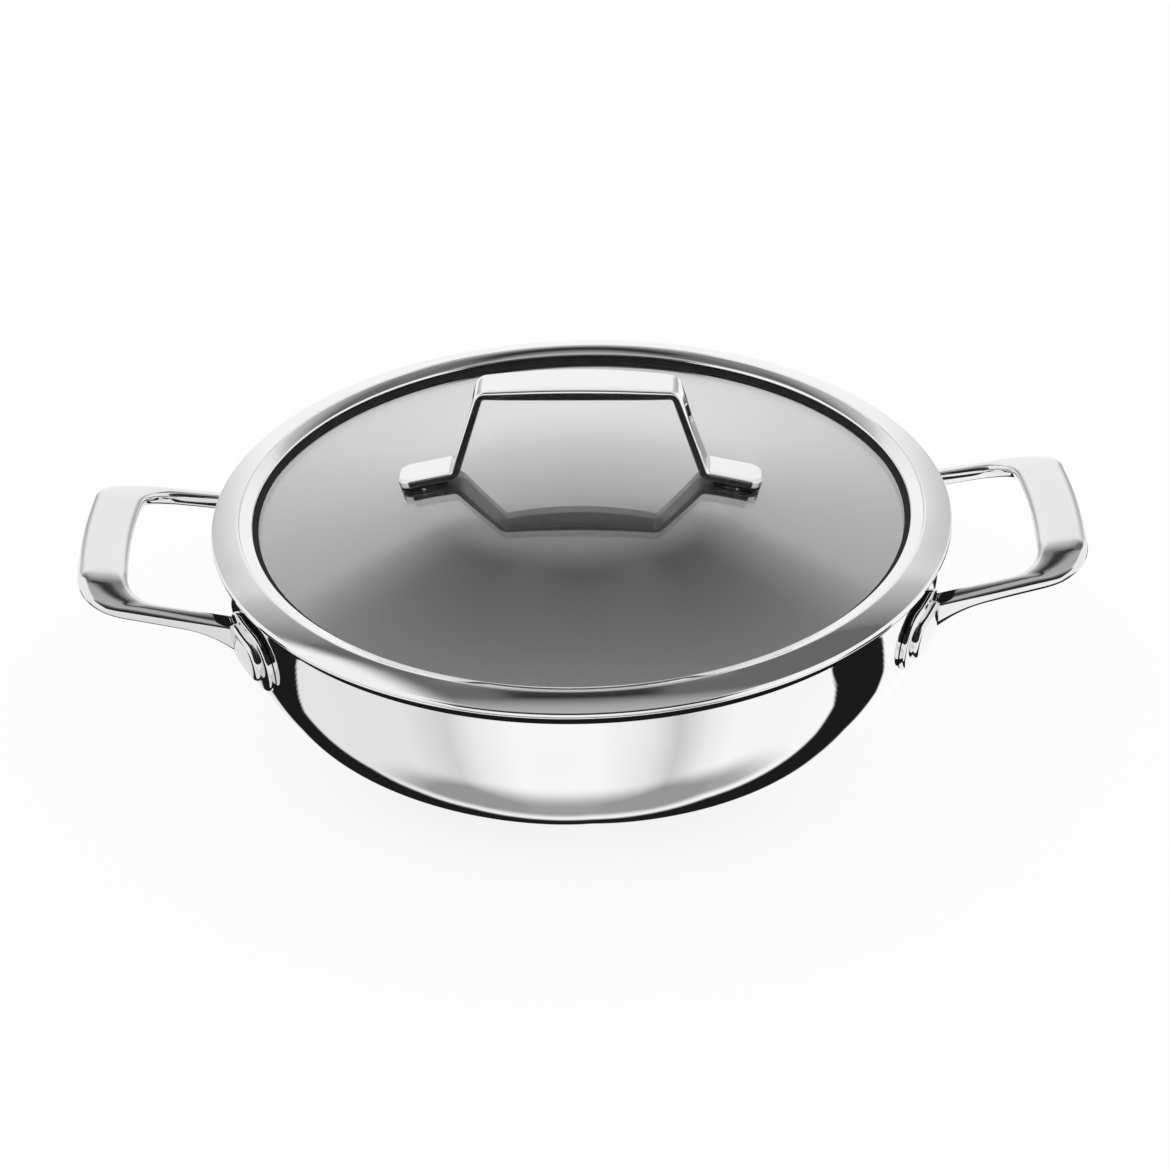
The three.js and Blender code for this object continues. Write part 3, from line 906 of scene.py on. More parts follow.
@dataclass(frozen=True)
class SideHandle:
    """A cast loop handle with a lug and a foot plate at each end."""

    side: Side
    bowl: Bowl = Bowl()
    reach: float = 56.3
    rise: float = math.radians(10.6)
    arm_drop: float = 17.5
    arm_span: float = 96.4
    convergence: float = math.radians(4.6)
    arm_width: float = 6.8
    arm_height: float = 6.0
    arm_bevel: float = math.radians(15.0)
    arch_slope: float = math.radians(15.0)
    arch_bend: Point2 = (28.0, 36.0)
    arch_half: float = 45.0
    grip_width: float = 19.0
    grip_thickness: float = 6.6
    grip_bow: float = 1.2
    outer_corner: float = 19.0
    inner_corner: float = 16.0
    arm_squareness: float = 5.0
    grip_squareness: float = 2.7
    gusset_run: float = 13.0
    gusset_drop: float = 3.6
    lug: WallPlate = WallPlate(30.0, 17.0, 4.6, 8.2, 1.8)
    lug_shift: float = 2.8
    lug_drop: float = 14.2
    foot: WallPlate = WallPlate(39.0, 26.0, 2.2, 12.5, 0.9)
    foot_shift: float = 1.4
    foot_drop: float = 9.2
    root_depth: float = 4.0
    arm_steps: int = 20
    corner_steps: int = 20
    grip_steps: int = 12
    section_points: int = 56

    @property
    def lug_radius(self) -> float:
        """Radius of the outside of the lugs."""
        return self.bowl.radius + self.lug.gap + self.lug.thickness

    def edge(self, out: int) -> list[Point2]:
        """Half of the loop's outline in plan, from inside the lug to the middle of the grip.

        Args:
            out: 1 for the outer edge and -1 for the inner edge.

        Returns:
            The points of the edge.
        """
        edge_y = self.arm_span / 2 + out * self.arm_width / 2
        grip = self.bowl.radius + self.reach - (0 if out > 0 else self.grip_width)
        corner = self.outer_corner if out > 0 else self.inner_corner
        lean = math.tan(self.convergence)

        def arm_y(x: float) -> float:
            """Distance of the edge from the middle of the loop."""
            return edge_y - (x - self.bowl.radius) * lean

        root_x = math.sqrt((self.lug_radius - self.root_depth) ** 2 - edge_y**2)
        bowed = grip - self.grip_bow
        root = Vector((root_x, arm_y(root_x)))
        bend = Vector((bowed - corner, arm_y(bowed - corner)))
        turn = Vector((bowed, arm_y(bowed)))
        end = Vector((bowed, turn.y - corner))
        crown = Vector((grip, end.y / 2))
        middle = Vector((grip, 0))
        points = [tuple(root.lerp(bend, k / self.arm_steps)) for k in range(self.arm_steps)]
        points += quadratic(bend, turn, end, self.corner_steps)[:-1]
        return points + quadratic(end, crown, middle, self.grip_steps)

    def arch(self, y: float) -> float:
        """How far the middle of the loop is raised by the grip's arch.

        Args:
            y: Distance from the middle of the grip.

        Returns:
            The rise: level in the middle of the grip, then bending into an even slope.
        """
        start, end = self.arch_bend
        run = end - start
        away = min(abs(y), self.arch_half)
        bent = min(max(away - start, 0.0), run) ** 2 / (2 * run) + max(away - end, 0.0)
        whole = run / 2 + self.arch_half - end
        return math.tan(self.arch_slope) * (whole - bent)

    def section(self, outer: Point2, inner: Point2, share: float) -> Ring:
        """One cross-section of the loop, which deepens into a gusset at the wall.

        The arms are squarer than the grip, and their top falls outwards. The grip arches upwards.

        Args:
            outer: Point of the outer edge.
            inner: Point of the inner edge.
            share: How far along the half loop the section lies.

        Returns:
            The points of the section.
        """

        def height(x: float) -> float:
            """Height of the middle of the loop."""
            rise = (x - self.bowl.radius) * math.tan(self.rise)
            return self.bowl.rim_height - self.arm_drop + rise

        one = Vector((*outer, height(outer[0])))
        other = Vector((*inner, height(inner[0])))
        centre = (one + other) / 2
        across = one - centre
        centre.z += self.arch(centre.y)
        normal = Vector((-math.sin(self.rise), 0, math.cos(self.rise)))
        half = (self.arm_height + (self.grip_thickness - self.arm_height) * share) / 2
        wall_x = math.sqrt(self.lug_radius**2 - (self.arm_span / 2) ** 2)
        near = max(1 - (centre.x - wall_x) / self.gusset_run, 0.0)
        arm = abs(across.y) / across.length
        power = 2 / (self.grip_squareness + (self.arm_squareness - self.grip_squareness) * arm**2)
        points: Ring = []
        for k in range(self.section_points):
            angle = 2 * math.pi * k / self.section_points
            wide = math.copysign(abs(math.cos(angle)) ** power, math.cos(angle))
            tall = math.copysign(abs(math.sin(angle)) ** power, math.sin(angle))
            fall = math.tan(self.arm_bevel) * across.y * wide
            lift = half + self.gusset_drop * near**2 if tall < 0 else half - fall
            points.append(centre + across * wide + normal * (tall * lift))
        return points

    def loop(self) -> Surface:
        """Makes the bent bar without its lugs and foot plates.

        Returns:
            The bar's surface.
        """
        outer, inner = self.edge(1), self.edge(-1)
        last = len(outer) - 1
        rear = [self.section(outer[i], inner[i], i / last) for i in range(last + 1)]
        front = [[Vector((p.x, -p.y, p.z)) for p in ring] for ring in rear[:-1]]
        return loft([*rear, *reversed(front)])

    def plates(self, end: int) -> list[Surface]:
        """The lug and the foot plate at one end.

        Args:
            end: 1 for the rear foot and -1 for the front foot.

        Returns:
            The surfaces of both plates.
        """
        arm = math.asin(self.arm_span / 2 / self.lug_radius)
        lug = arm + (self.lug.width / 2 - self.arm_width / 2 + self.lug_shift) / self.lug_radius
        foot = lug + self.foot_shift / self.lug_radius
        lug_z = self.bowl.rim_height - self.lug_drop - self.lug.height / 2
        foot_z = self.bowl.rim_height - self.foot_drop - self.foot.height / 2
        return [
            self.lug.surface(self.bowl, end * lug, lug_z),
            self.foot.surface(self.bowl, end * foot, foot_z),
        ]

    def build(self, finishes: Finishes) -> None:
        """Makes the handle as one casting.

        Args:
            finishes: The materials that the pieces share.
        """
        place = Matrix.Rotation(0.0 if self.side is Side.RIGHT else math.pi, 4, "Z")
        name = f"loop_handle_{self.side.word}"
        obj = bare_object(self.loop().mesh(name, place))
        for surface in (*self.plates(1), *self.plates(-1)):
            combine(obj, bare_object(surface.mesh("plate", place)), Join.UNION)
        add_piece(obj, (finishes.cast,), Body.PAN, Slot.CAST, f"handle_{self.side.word}")


# The lid


@dataclass(frozen=True)
class LidFrame:
    """Where the lid sits and how it is turned."""

    bowl: Bowl = Bowl()
    gap: float = 0.3
    play: float = 1.5
    turn: float = math.radians(-3.7)
    bead_width: float = 9.3
    crest_rise: float = 4.8
    recess: float = 4.4
    sheet: float = 0.8
    glass: float = 4.0
    dome_radius: float = 275.0
    dome_slope: float = math.radians(14.0)
    brim_slope: float = math.radians(9.5)
    hole_spacing: float = 122.0

    @property
    def web_radius(self) -> float:
        """Outside of the ring's skirt."""
        return self.bowl.radius - self.bowl.wall - self.play

    @property
    def bore(self) -> float:
        """Radius of the ring's opening."""
        return self.web_radius - self.bead_width

    @property
    def crest_z(self) -> float:
        """Top of the ring."""
        return self.bowl.rim_height + self.crest_rise

    @property
    def glass_z(self) -> float:
        """Top of the glass at its edge."""
        return self.crest_z - self.recess - self.gap

    @property
    def brim_radius(self) -> float:
        """Radius of the hollow curve between the dome and the ring."""
        run = self.bore - self.dome_radius * math.sin(self.dome_slope)
        return run / (math.sin(self.dome_slope) - math.sin(self.brim_slope))

    @property
    def dome_centre(self) -> float:
        """Height of the dome's centre."""
        rise = self.brim_radius * (math.cos(self.brim_slope) - math.cos(self.dome_slope))
        return self.glass_z + rise - self.dome_radius * math.cos(self.dome_slope)

    @property
    def hole_tilt(self) -> float:
        """Slope of the glass at the handle's holes."""
        return math.asin(self.hole_spacing / 2 / self.dome_radius)

    @property
    def hole_z(self) -> float:
        """Height of the glass at the handle's holes."""
        return self.dome_centre + self.dome_radius * math.cos(self.hole_tilt)

    def turned(self) -> Matrix:
        """Place of what is made on the lid's own axes."""
        return Matrix.Rotation(self.turn, 4, "Z")

    def at_hole(self, side: Side) -> Matrix:
        """Place of what is made round a hole, with z = 0 on top of the glass."""
        shift = Matrix.Translation((side.value * self.hole_spacing / 2, 0, self.hole_z))
        return self.turned() @ shift @ Matrix.Rotation(side.value * self.hole_tilt, 4, "Y")


@dataclass(frozen=True)
class LidRing:
    """The pressed ring round the glass."""

    frame: LidFrame = LidFrame()
    lip_overhang: float = 0.7
    lip_edge: float = 0.4
    lip_round: float = 1.0
    crest_width: float = 5.4
    crease: Point2 = (0.45, 0.4)
    crease_round: float = 0.15
    inner_slopes: Point2 = (math.radians(17.0), math.radians(22.5))
    inner_edge: float = 0.8
    outer_slopes: Point2 = (math.radians(12.5), math.radians(17.3))
    roof_drop: float = 1.2
    leaf_width: float = 8.9
    fold: float = 0.35
    slope_steps: int = 10
    sides: int = 256

    def bulge(self, reach: float, slopes: Point2) -> list[Point2]:
        """A bulging slope, from the ridge down to its end.

        Args:
            reach: Width of the slope, negative where it runs inwards.
            slopes: Its angles at the ridge and at its end.

        Returns:
            The points of the slope.
        """
        ridge = self.frame.bore + self.crest_width
        start, end = (math.tan(slope) for slope in slopes)
        points: list[Point2] = []
        for i in range(self.slope_steps + 1):
            share = i / self.slope_steps
            fall = abs(reach) * share * (start + (end - start) * share / 2)
            points.append((ridge + reach * share, self.frame.crest_z - fall))
        return points

    def build(self, finishes: Finishes) -> None:
        """Makes the ring from its folded sheet.

        Args:
            finishes: The materials that the pieces share.
        """
        lid = self.frame
        sheet, fold, web = lid.sheet, self.fold, lid.web_radius
        lip_radius = lid.bowl.radius + lid.bowl.flare_width + self.lip_overhang
        flange = self.bulge(lip_radius - lid.bore - self.crest_width, self.outer_slopes)
        brow = self.bulge(-self.crest_width, self.inner_slopes)
        lip_z = lid.bowl.rim_height + lid.gap
        lip, lip_top = flange[-1]
        ridge = flange[0]
        seat = lid.glass_z + lid.gap
        leaf_top = lid.glass_z - lid.glass - lid.gap
        leaf_end = web - self.leaf_width
        roof = lid.crest_z - self.roof_drop
        half, depth = self.crease
        corners = [
            (lip - 2 * sheet, lip_z, 0.0),
            (lip, lip_z, self.lip_edge),
            (lip, lip_top, self.lip_round),
            *((r, z, 0.0) for r, z in reversed(flange[1:-1])),
            (ridge[0] + half, ridge[1] - half * math.tan(self.outer_slopes[0]), self.crease_round),
            (ridge[0], ridge[1] - depth, self.crease_round),
            (ridge[0] - half, ridge[1] - half * math.tan(self.inner_slopes[0]), self.crease_round),
            *((r, z, 0.0) for r, z in brow[2:-2]),
            (*brow[-1], self.inner_edge),
            (lid.bore, seat, fold),
            (lid.bore + sheet, seat, fold),
            (lid.bore + sheet, roof - sheet, fold),
            (web - sheet, roof, fold),
            (web - sheet, leaf_top, fold),
            (leaf_end, leaf_top, fold),
            (leaf_end, leaf_top - sheet, fold),
            (web, leaf_top - sheet, sheet),
            (web, lip_z + sheet, fold),
            (lip - 2 * sheet, lip_z, 0.0),
        ]
        surface = revolve(rounded(corners)[:-1], self.sides, closed=True)
        obj = bare_object(surface.mesh("lid_rim_ring", lid.turned()))
        add_piece(obj, (finishes.mirror,), Body.LID, Slot.POLISHED, "lid_ring")


@dataclass(frozen=True)
class LidEdgeShade:
    """A thin bead of black silicone in the corner between the glass and the ring: painted shade
    for the dark channel at the glass's edge.
    """

    frame: LidFrame = LidFrame()
    width: float = 2.3
    height: float = 2.2
    tuck: float = 0.5
    clear: float = 0.02
    steps: int = 8
    sides: int = 256

    def build(self, finishes: Finishes) -> None:
        """Lays the bead in the corner between the glass and the ring.

        Args:
            finishes: The materials that the pieces share.
        """
        lid = self.frame
        level = lid.glass_z + self.clear
        edge, back = lid.bore - self.clear, lid.bore + self.tuck
        tuck_top = level + lid.gap / 2
        end_rise = self.width * math.tan(lid.brim_slope)
        profile = [(back, level), (back, tuck_top), (edge, tuck_top)]
        for angle in quarter(self.steps):
            rise = self.height + (end_rise - self.height) * math.sin(angle)
            profile.append((edge - self.width * (1 - math.cos(angle)), level + rise))
        profile.append((edge, level))
        surface = revolve(profile, self.sides, closed=True)
        obj = bare_object(surface.mesh("lid_edge_shade", lid.turned()))
        add_piece(obj, (finishes.silicone,), Body.LID, Slot.SILICONE)


@dataclass(frozen=True)
class LidGlass:
    """The domed glass disc with two holes for the handle."""

    frame: LidFrame = LidFrame()
    edge: float = 1.2
    hole_radius: float = 4.6
    sides: int = 256
    dome_steps: int = 32
    brim_steps: int = 24
    hole_sides: int = 48

    def top(self) -> list[Point2]:
        """Profile of the upper face, from the edge to the middle.

        Returns:
            The profile's points, each a radius and a height.
        """
        lid = self.frame
        reach = lid.web_radius - lid.sheet - lid.gap
        points = [(reach, lid.glass_z)]
        slope = lid.dome_slope
        for i in range(self.brim_steps + 1):
            angle = lid.brim_slope + (slope - lid.brim_slope) * i / self.brim_steps
            run = lid.brim_radius * (math.sin(angle) - math.sin(lid.brim_slope))
            rise = lid.brim_radius * (math.cos(lid.brim_slope) - math.cos(angle))
            points.append((lid.bore - run, lid.glass_z + rise))
        for i in range(1, self.dome_steps + 1):
            angle = (1 - i / self.dome_steps) * slope
            height = lid.dome_centre + lid.dome_radius * math.cos(angle)
            points.append((lid.dome_radius * math.sin(angle), height))
        return points

    def build(self, finishes: Finishes) -> None:
        """Makes the disc and drills its holes.

        Args:
            finishes: The materials that the pieces share.
        """
        lid = self.frame
        top = self.top()
        bottom = offset(top, lid.glass)
        bottom[-1] = (0.0, bottom[-1][1])
        reach, high = top[0]
        low = bottom[0][1]
        corners = [(bottom[1][0], low, 0.0), (reach, low, self.edge)]
        corners += [(reach, high, self.edge), (*top[1], 0.0)]
        profile = [*reversed(bottom[2:]), *rounded(corners), *top[2:]]
        obj = bare_object(revolve(profile, self.sides).mesh("lid_dome", lid.turned()))
        half = 2 * lid.glass
        bore = [(0.0, -half), (self.hole_radius, -half), (self.hole_radius, half), (0.0, half)]
        drill = revolve(bore, self.hole_sides)
        for side in Side:
            combine(obj, bare_object(drill.mesh("drill", lid.at_hole(side))), Join.DIFFERENCE)
        add_piece(obj, (finishes.glass,), Body.LID, Slot.GLASS, "lid_glass")


@dataclass(frozen=True)
class LidHandle:
    """The bent strap with a stud under each foot."""

    frame: LidFrame = LidFrame()
    width: float = 15.3
    thickness: float = 3.2
    rise: float = 43.15
    heel: float = 11.7
    toe: float = 11.0
    splay: float = 11.2
    arch: float = 1.7
    crown: float = 500.0
    swell: float = 1.5
    thicken: float = 0.7
    bend: float = 3.4
    tip: float = 5.5
    edge: float = 0.6
    seat: float = 1.5
    stud_radius: float = 2.5
    stud_end: float = -11.4
    # Faces whose normal points further down than this take the darker steel, a painted shade.
    under: float = -0.15
    tip_steps: int = 14
    bend_steps: int = 10
    run_steps: int = 10
    edge_steps: int = 4
    side_steps: int = 4
    stud_sides: int = 48

    def line(self) -> list[Point2]:
        """Middle of the strap seen from the front, from the left tip to the right tip.

        Returns:
            The line's points.
        """
        lid = self.frame
        hole = lid.hole_spacing / 2
        lift = self.seat + self.thickness / 2
        tilt = lid.hole_tilt

        def foot(x: float) -> float:
            """Height of the foot's middle at a distance from the lid's axis."""
            start = hole + lift * math.sin(tilt)
            return lid.hole_z + lift * math.cos(tilt) - (x - start) * math.tan(tilt)

        bend, toe = hole - self.heel, hole + self.toe
        shoulder = bend - self.splay
        bar = lid.hole_z + self.rise
        right = [
            (shoulder, bar - self.arch, self.bend),
            (bend, foot(bend), self.bend),
            (toe, foot(toe), 0.0),
        ]
        left = [(-x, z, radius) for x, z, radius in reversed(right)]
        return rounded([*left, (0.0, bar, self.crown), *right], self.bend_steps)

    def stations(self) -> list[tuple[Vector, Vector, float]]:
        """Finds the places of the cross-sections along the strap.

        Returns:
            Each place with the direction there and the distance to the nearer tip.
        """
        corners = [Vector(point) for point in self.line()]
        tips = [self.tip * (1 - math.cos(angle)) for angle in quarter(self.tip_steps)]
        lengths = [0.0]
        for one, other in zip(corners, corners[1:]):
            lengths.append(lengths[-1] + (other - one).length)
        total = lengths[-1]
        marks = {*tips, *(total - mark for mark in tips), *lengths[1:-1]}
        for one, other in zip(lengths, lengths[1:]):
            run = other - one
            if run > 2 * self.tip:
                marks |= {one + run * k / self.run_steps for k in range(1, self.run_steps)}
        stations = []
        for mark in sorted(marks):
            i = max(k for k in range(len(lengths) - 1) if lengths[k] <= mark + TINY)
            step = corners[i + 1] - corners[i]
            point = corners[i] + step.normalized() * (mark - lengths[i])
            before = corners[i] - corners[max(i - 1, 0)]
            along = step.normalized()
            if abs(mark - lengths[i]) < TINY and before.length > 0:
                along = (along + before.normalized()).normalized()
            stations.append((point, along, min(mark, total - mark)))
        return stations

    def section(self, point: Vector, along: Vector, from_tip: float) -> Ring:
        """One cross-section of the strap, narrower at its tip and fuller in the middle.

        Args:
            point: Middle of the section seen from the front.
            along: Direction of the strap there.
            from_tip: Distance to the nearer tip.

        Returns:
            The points of the section.
        """
        shoulder = self.frame.hole_spacing / 2 - self.heel - self.splay
        middle = max(1 - (point.x / shoulder) ** 2, 0.0)
        half = self.width / 2 + self.swell * middle
        if from_tip < self.tip:
            half -= self.tip - math.sqrt(self.tip**2 - (self.tip - from_tip) ** 2)
        thick = self.thickness / 2 + self.thicken * middle
        if from_tip < self.edge:
            thick -= self.edge - math.sqrt(self.edge**2 - (self.edge - from_tip) ** 2)
        up = Vector((-along.y, along.x))
        outline = rounded_rectangle(
            (-half, -thick), (half, thick), self.edge, self.edge_steps, self.side_steps
        )
        ring: Ring = []
        for across, lift in outline:
            spot = point + up * lift
            ring.append(Vector((spot.x, across, spot.y)))
        return ring

    def build(self, finishes: Finishes) -> None:
        """Makes the strap and its studs.

        Args:
            finishes: The materials that the pieces share.
        """
        lid = self.frame
        strap = loft([self.section(*station) for station in self.stations()])
        obj = bare_object(strap.mesh("lid_strap", lid.turned()))
        top = self.seat + self.thickness / 2
        radius, end = self.stud_radius, self.stud_end
        corners = [(0.0, end, 0.0), (radius, end, self.edge), (radius, top, 0.0), (0.0, top, 0.0)]
        stud = revolve(rounded(corners), self.stud_sides)
        for side in Side:
            combine(obj, bare_object(stud.mesh("stud", lid.at_hole(side))), Join.UNION)
        # Faces that point down take the darker steel: painted shade on the strap's underside.
        for polygon in obj.data.polygons:
            polygon.material_index = int(polygon.normal.z < self.under)
        add_piece(obj, (finishes.mirror, finishes.blasted), Body.LID, Slot.POLISHED, "lid_handle")


@dataclass(frozen=True)
class Fixing:
    """The pad, bushing, washer and cap nut at one of the handle's holes."""

    side: Side
    frame: LidFrame = LidFrame()
    strap: LidHandle = LidHandle()
    pad_thickness: float = 0.9
    pad_inset: float = 0.5
    bore: float = 2.8
    bushing_radius: float = 4.3
    flange_radius: float = 8.0
    flange_thickness: float = 1.2
    washer_radius: float = 7.0
    washer_thickness: float = 1.0
    nut_width: float = 8.0
    nut_height: float = 6.0
    nut_dome: float = 1.8
    nut_shoulder: float = 0.4
    nut_chamfer: float = 0.5
    edge: float = 0.25
    edge_steps: int = 4
    dome_steps: int = 8
    sides: int = 72

    def add(self, kind: str, surface: Surface, material: bpy.types.Material, slot: Slot) -> None:
        """Places a piece at the hole.

        Args:
            kind: Name of the piece's node without its side.
            surface: The piece, made round the hole's axis.
            material: Its finish.
            slot: The record's material slot.
        """
        node = f"{kind}_{self.side.word}"
        obj = bare_object(surface.mesh(f"foot_{node}", self.frame.at_hole(self.side)))
        add_piece(obj, (material,), Body.LID, slot, node)

    def pad(self) -> Surface:
        """Makes the gasket under the foot.

        Returns:
            The pad's surface.
        """
        half = self.strap.width / 2 - self.pad_inset
        heel = -self.strap.heel + self.strap.thickness
        toe = self.strap.toe - self.pad_inset
        ends = sorted((self.side.value * heel, self.side.value * toe))
        low = self.frame.gap
        high = low + self.pad_thickness
        surface = Surface()

        def outline(inset: float, height: float) -> list[int]:
            """Adds an outer ring of the pad.

            Args:
                inset: How far it lies inside the pad's edge.
                height: Its height.

            Returns:
                The numbers of the ring's points.
            """
            corner = self.strap.tip - self.pad_inset - inset
            start, end = (ends[0] + inset, inset - half), (ends[1] - inset, half - inset)
            ring = rounded_rectangle(start, end, corner)
            return surface.ring([Vector((x, y, height)) for x, y in ring])

        def hole(height: float) -> list[int]:
            """Adds a ring of the pad's hole, with its points where the outline's are.

            Args:
                height: Its height.

            Returns:
                The numbers of the ring's points.
            """
            ring = rounded_rectangle((ends[0], -half), (ends[1], half), self.strap.tip)
            scales = [(x, y, self.bore / math.hypot(x, y)) for x, y in ring]
            return surface.ring([Vector((x * scale, y * scale, height)) for x, y, scale in scales])

        bevel = self.edge
        rings = [hole(low), outline(bevel, low), outline(0.0, low + bevel)]
        rings += [outline(0.0, high - bevel), outline(bevel, high), hole(high)]
        for one, other in zip(rings, rings[1:] + rings[:1]):
            surface.bridge(one, other)
        return surface

    def sleeve(self, outline: Sequence[Point2], middle: float) -> Surface:
        """Turns an outline round the bore, with rounded edges.

        Args:
            outline: Corners from the bore's lower end outwards and back to its upper end.
            middle: A height between the ends of the bore.

        Returns:
            The surface.
        """
        seam = (self.bore, middle, 0.0)
        corners = [seam, *((radius, z, self.edge) for radius, z in outline), seam]
        return revolve(rounded(corners, self.edge_steps)[:-1], self.sides, closed=True)

    def bushing(self) -> Surface:
        """Makes the flanged sleeve that lines the hole in the glass.

        Returns:
            The bushing's surface.
        """
        flange = -self.frame.glass - self.frame.gap
        bottom = flange - self.flange_thickness
        outline = [
            (self.bore, bottom),
            (self.flange_radius, bottom),
            (self.flange_radius, flange),
            (self.bushing_radius, flange),
            (self.bushing_radius, 0.0),
            (self.bore, 0.0),
        ]
        return self.sleeve(outline, (flange + bottom) / 2)

    @property
    def washer_top(self) -> float:
        """Upper face of the washer."""
        return -self.frame.glass - self.flange_thickness - 2 * self.frame.gap

    def washer(self) -> Surface:
        """Makes the washer below the bushing.

        Returns:
            The washer's surface.
        """
        high = self.washer_top
        low = high - self.washer_thickness
        radius = self.washer_radius
        outline = [(self.bore, low), (radius, low), (radius, high), (self.bore, high)]
        return self.sleeve(outline, (low + high) / 2)

    def nut(self) -> Surface:
        """Makes the cap nut: a chamfered hexagon with a domed end and a blind hole.

        Returns:
            The nut's surface.
        """
        top = self.washer_top - self.washer_thickness - self.frame.gap
        foot = top - self.nut_height
        bottom = self.strap.stud_end - self.frame.gap
        reach = self.nut_width / math.sqrt(3)
        shoulder = self.nut_width / 2 - self.nut_shoulder
        chamfer = self.nut_chamfer
        flat = reach - chamfer
        hexagon = [
            (flat, top),
            (flat + chamfer / 2, top - chamfer / 4),
            (reach, top - chamfer / 2),
            (reach, foot + chamfer / 2),
            (flat + chamfer / 2, foot + chamfer / 4),
            (min(flat, shoulder + chamfer / 2), foot),
        ]
        profile = [(0.0, bottom), (self.bore, bottom), (self.bore, top), *hexagon]
        for turn in quarter(self.dome_steps)[:-1]:
            profile.append((shoulder * math.cos(turn), foot - self.nut_dome * math.sin(turn)))
        profile.append((0.0, foot - self.nut_dome))
        surface = revolve(profile, self.sides)
        for point in surface.points:
            around = (math.atan2(point.y, point.x) + math.pi / 6) % (math.pi / 3) - math.pi / 6
            side = self.nut_width / 2 / math.cos(around)
            if point.xy.length > side:
                point.xy = point.xy.normalized() * side
        return surface

    def build(self, finishes: Finishes) -> None:
        """Makes the four pieces.

        Args:
            finishes: The materials that the pieces share.
        """
        self.add("pad", self.pad(), finishes.silicone, Slot.SILICONE)
        self.add("bushing", self.bushing(), finishes.silicone, Slot.SILICONE)
        self.add("washer", self.washer(), finishes.satin, Slot.BRUSHED)
        self.add("nut", self.nut(), finishes.satin, Slot.BRUSHED)


# The studio


def curve(stops: Sequence[Point2], place: float) -> float:
    """Reads a curve of straight pieces.

    Args:
        stops: Places in rising order, with the value at each.
        place: Where the curve is read.

    Returns:
        The value there, which stays level beyond the ends.
    """
    if place <= stops[0][0]:
        return stops[0][1]
    for (one, low), (other, high) in zip(stops, stops[1:]):
        if place <= other:
            return low + (high - low) * (place - one) / (other - one)
    return stops[-1][1]


def ease(start: float, end: float, place: float) -> float:
    """Rises smoothly from 0 at start to 1 at end."""
    share = min(max((place - start) / (end - start), 0.0), 1.0)
    return share * share * (3 - 2 * share)


def plateau(stops: Span, place: float) -> float:
    """Rises from 0 to 1 between the first two stops and falls back between the last two."""
    return ease(stops[0], stops[1], place) * (1 - ease(stops[2], stops[3], place))


@dataclass(frozen=True)
class Card:
    """A sheet of the studio that only shows in polished steel and glass."""

    name: str

    def build(
        self, rows: Sequence[Sequence[Vector]], tone: Callable[[Vector], float], closed: bool
    ) -> None:
        """Makes the sheet from rows of points.

        Args:
            rows: Rows with the same number of points, in millimetres.
            tone: Gives the brightness at a point.
            closed: Whether each row is a ring.
        """
        points = [point for row in rows for point in row]
        across = len(rows[0])
        faces = []
        for start in range(0, len(points) - across, across):
            for k in range(across if closed else across - 1):
                one, other = start + k, start + (k + 1) % across
                faces.append((one, other, other + across, one + across))
        mesh = bpy.data.meshes.new(self.name)
        mesh.from_pydata([point * MM for point in points], [], faces)
        tones = mesh.attributes.new("tone", "FLOAT", "POINT")
        tones.data.foreach_set("value", [tone(point) for point in points])
        mesh.materials.append(self.material())
        card = bare_object(mesh)
        card.visible_camera = False
        card.visible_diffuse = False
        card.visible_shadow = False

    def material(self) -> bpy.types.Material:
        """Makes a plain glow that follows the sheet's tones.

        Returns:
            The material.
        """
        material, tree = empty_material(self.name)
        tones = tree.nodes.new("ShaderNodeAttribute")
        tones.attribute_name = "tone"
        glow = tree.nodes.new("ShaderNodeEmission")
        output = tree.nodes.new("ShaderNodeOutputMaterial")
        tree.links.new(tones.outputs["Fac"], glow.inputs["Strength"])
        tree.links.new(glow.outputs["Emission"], output.inputs["Surface"])
        return material


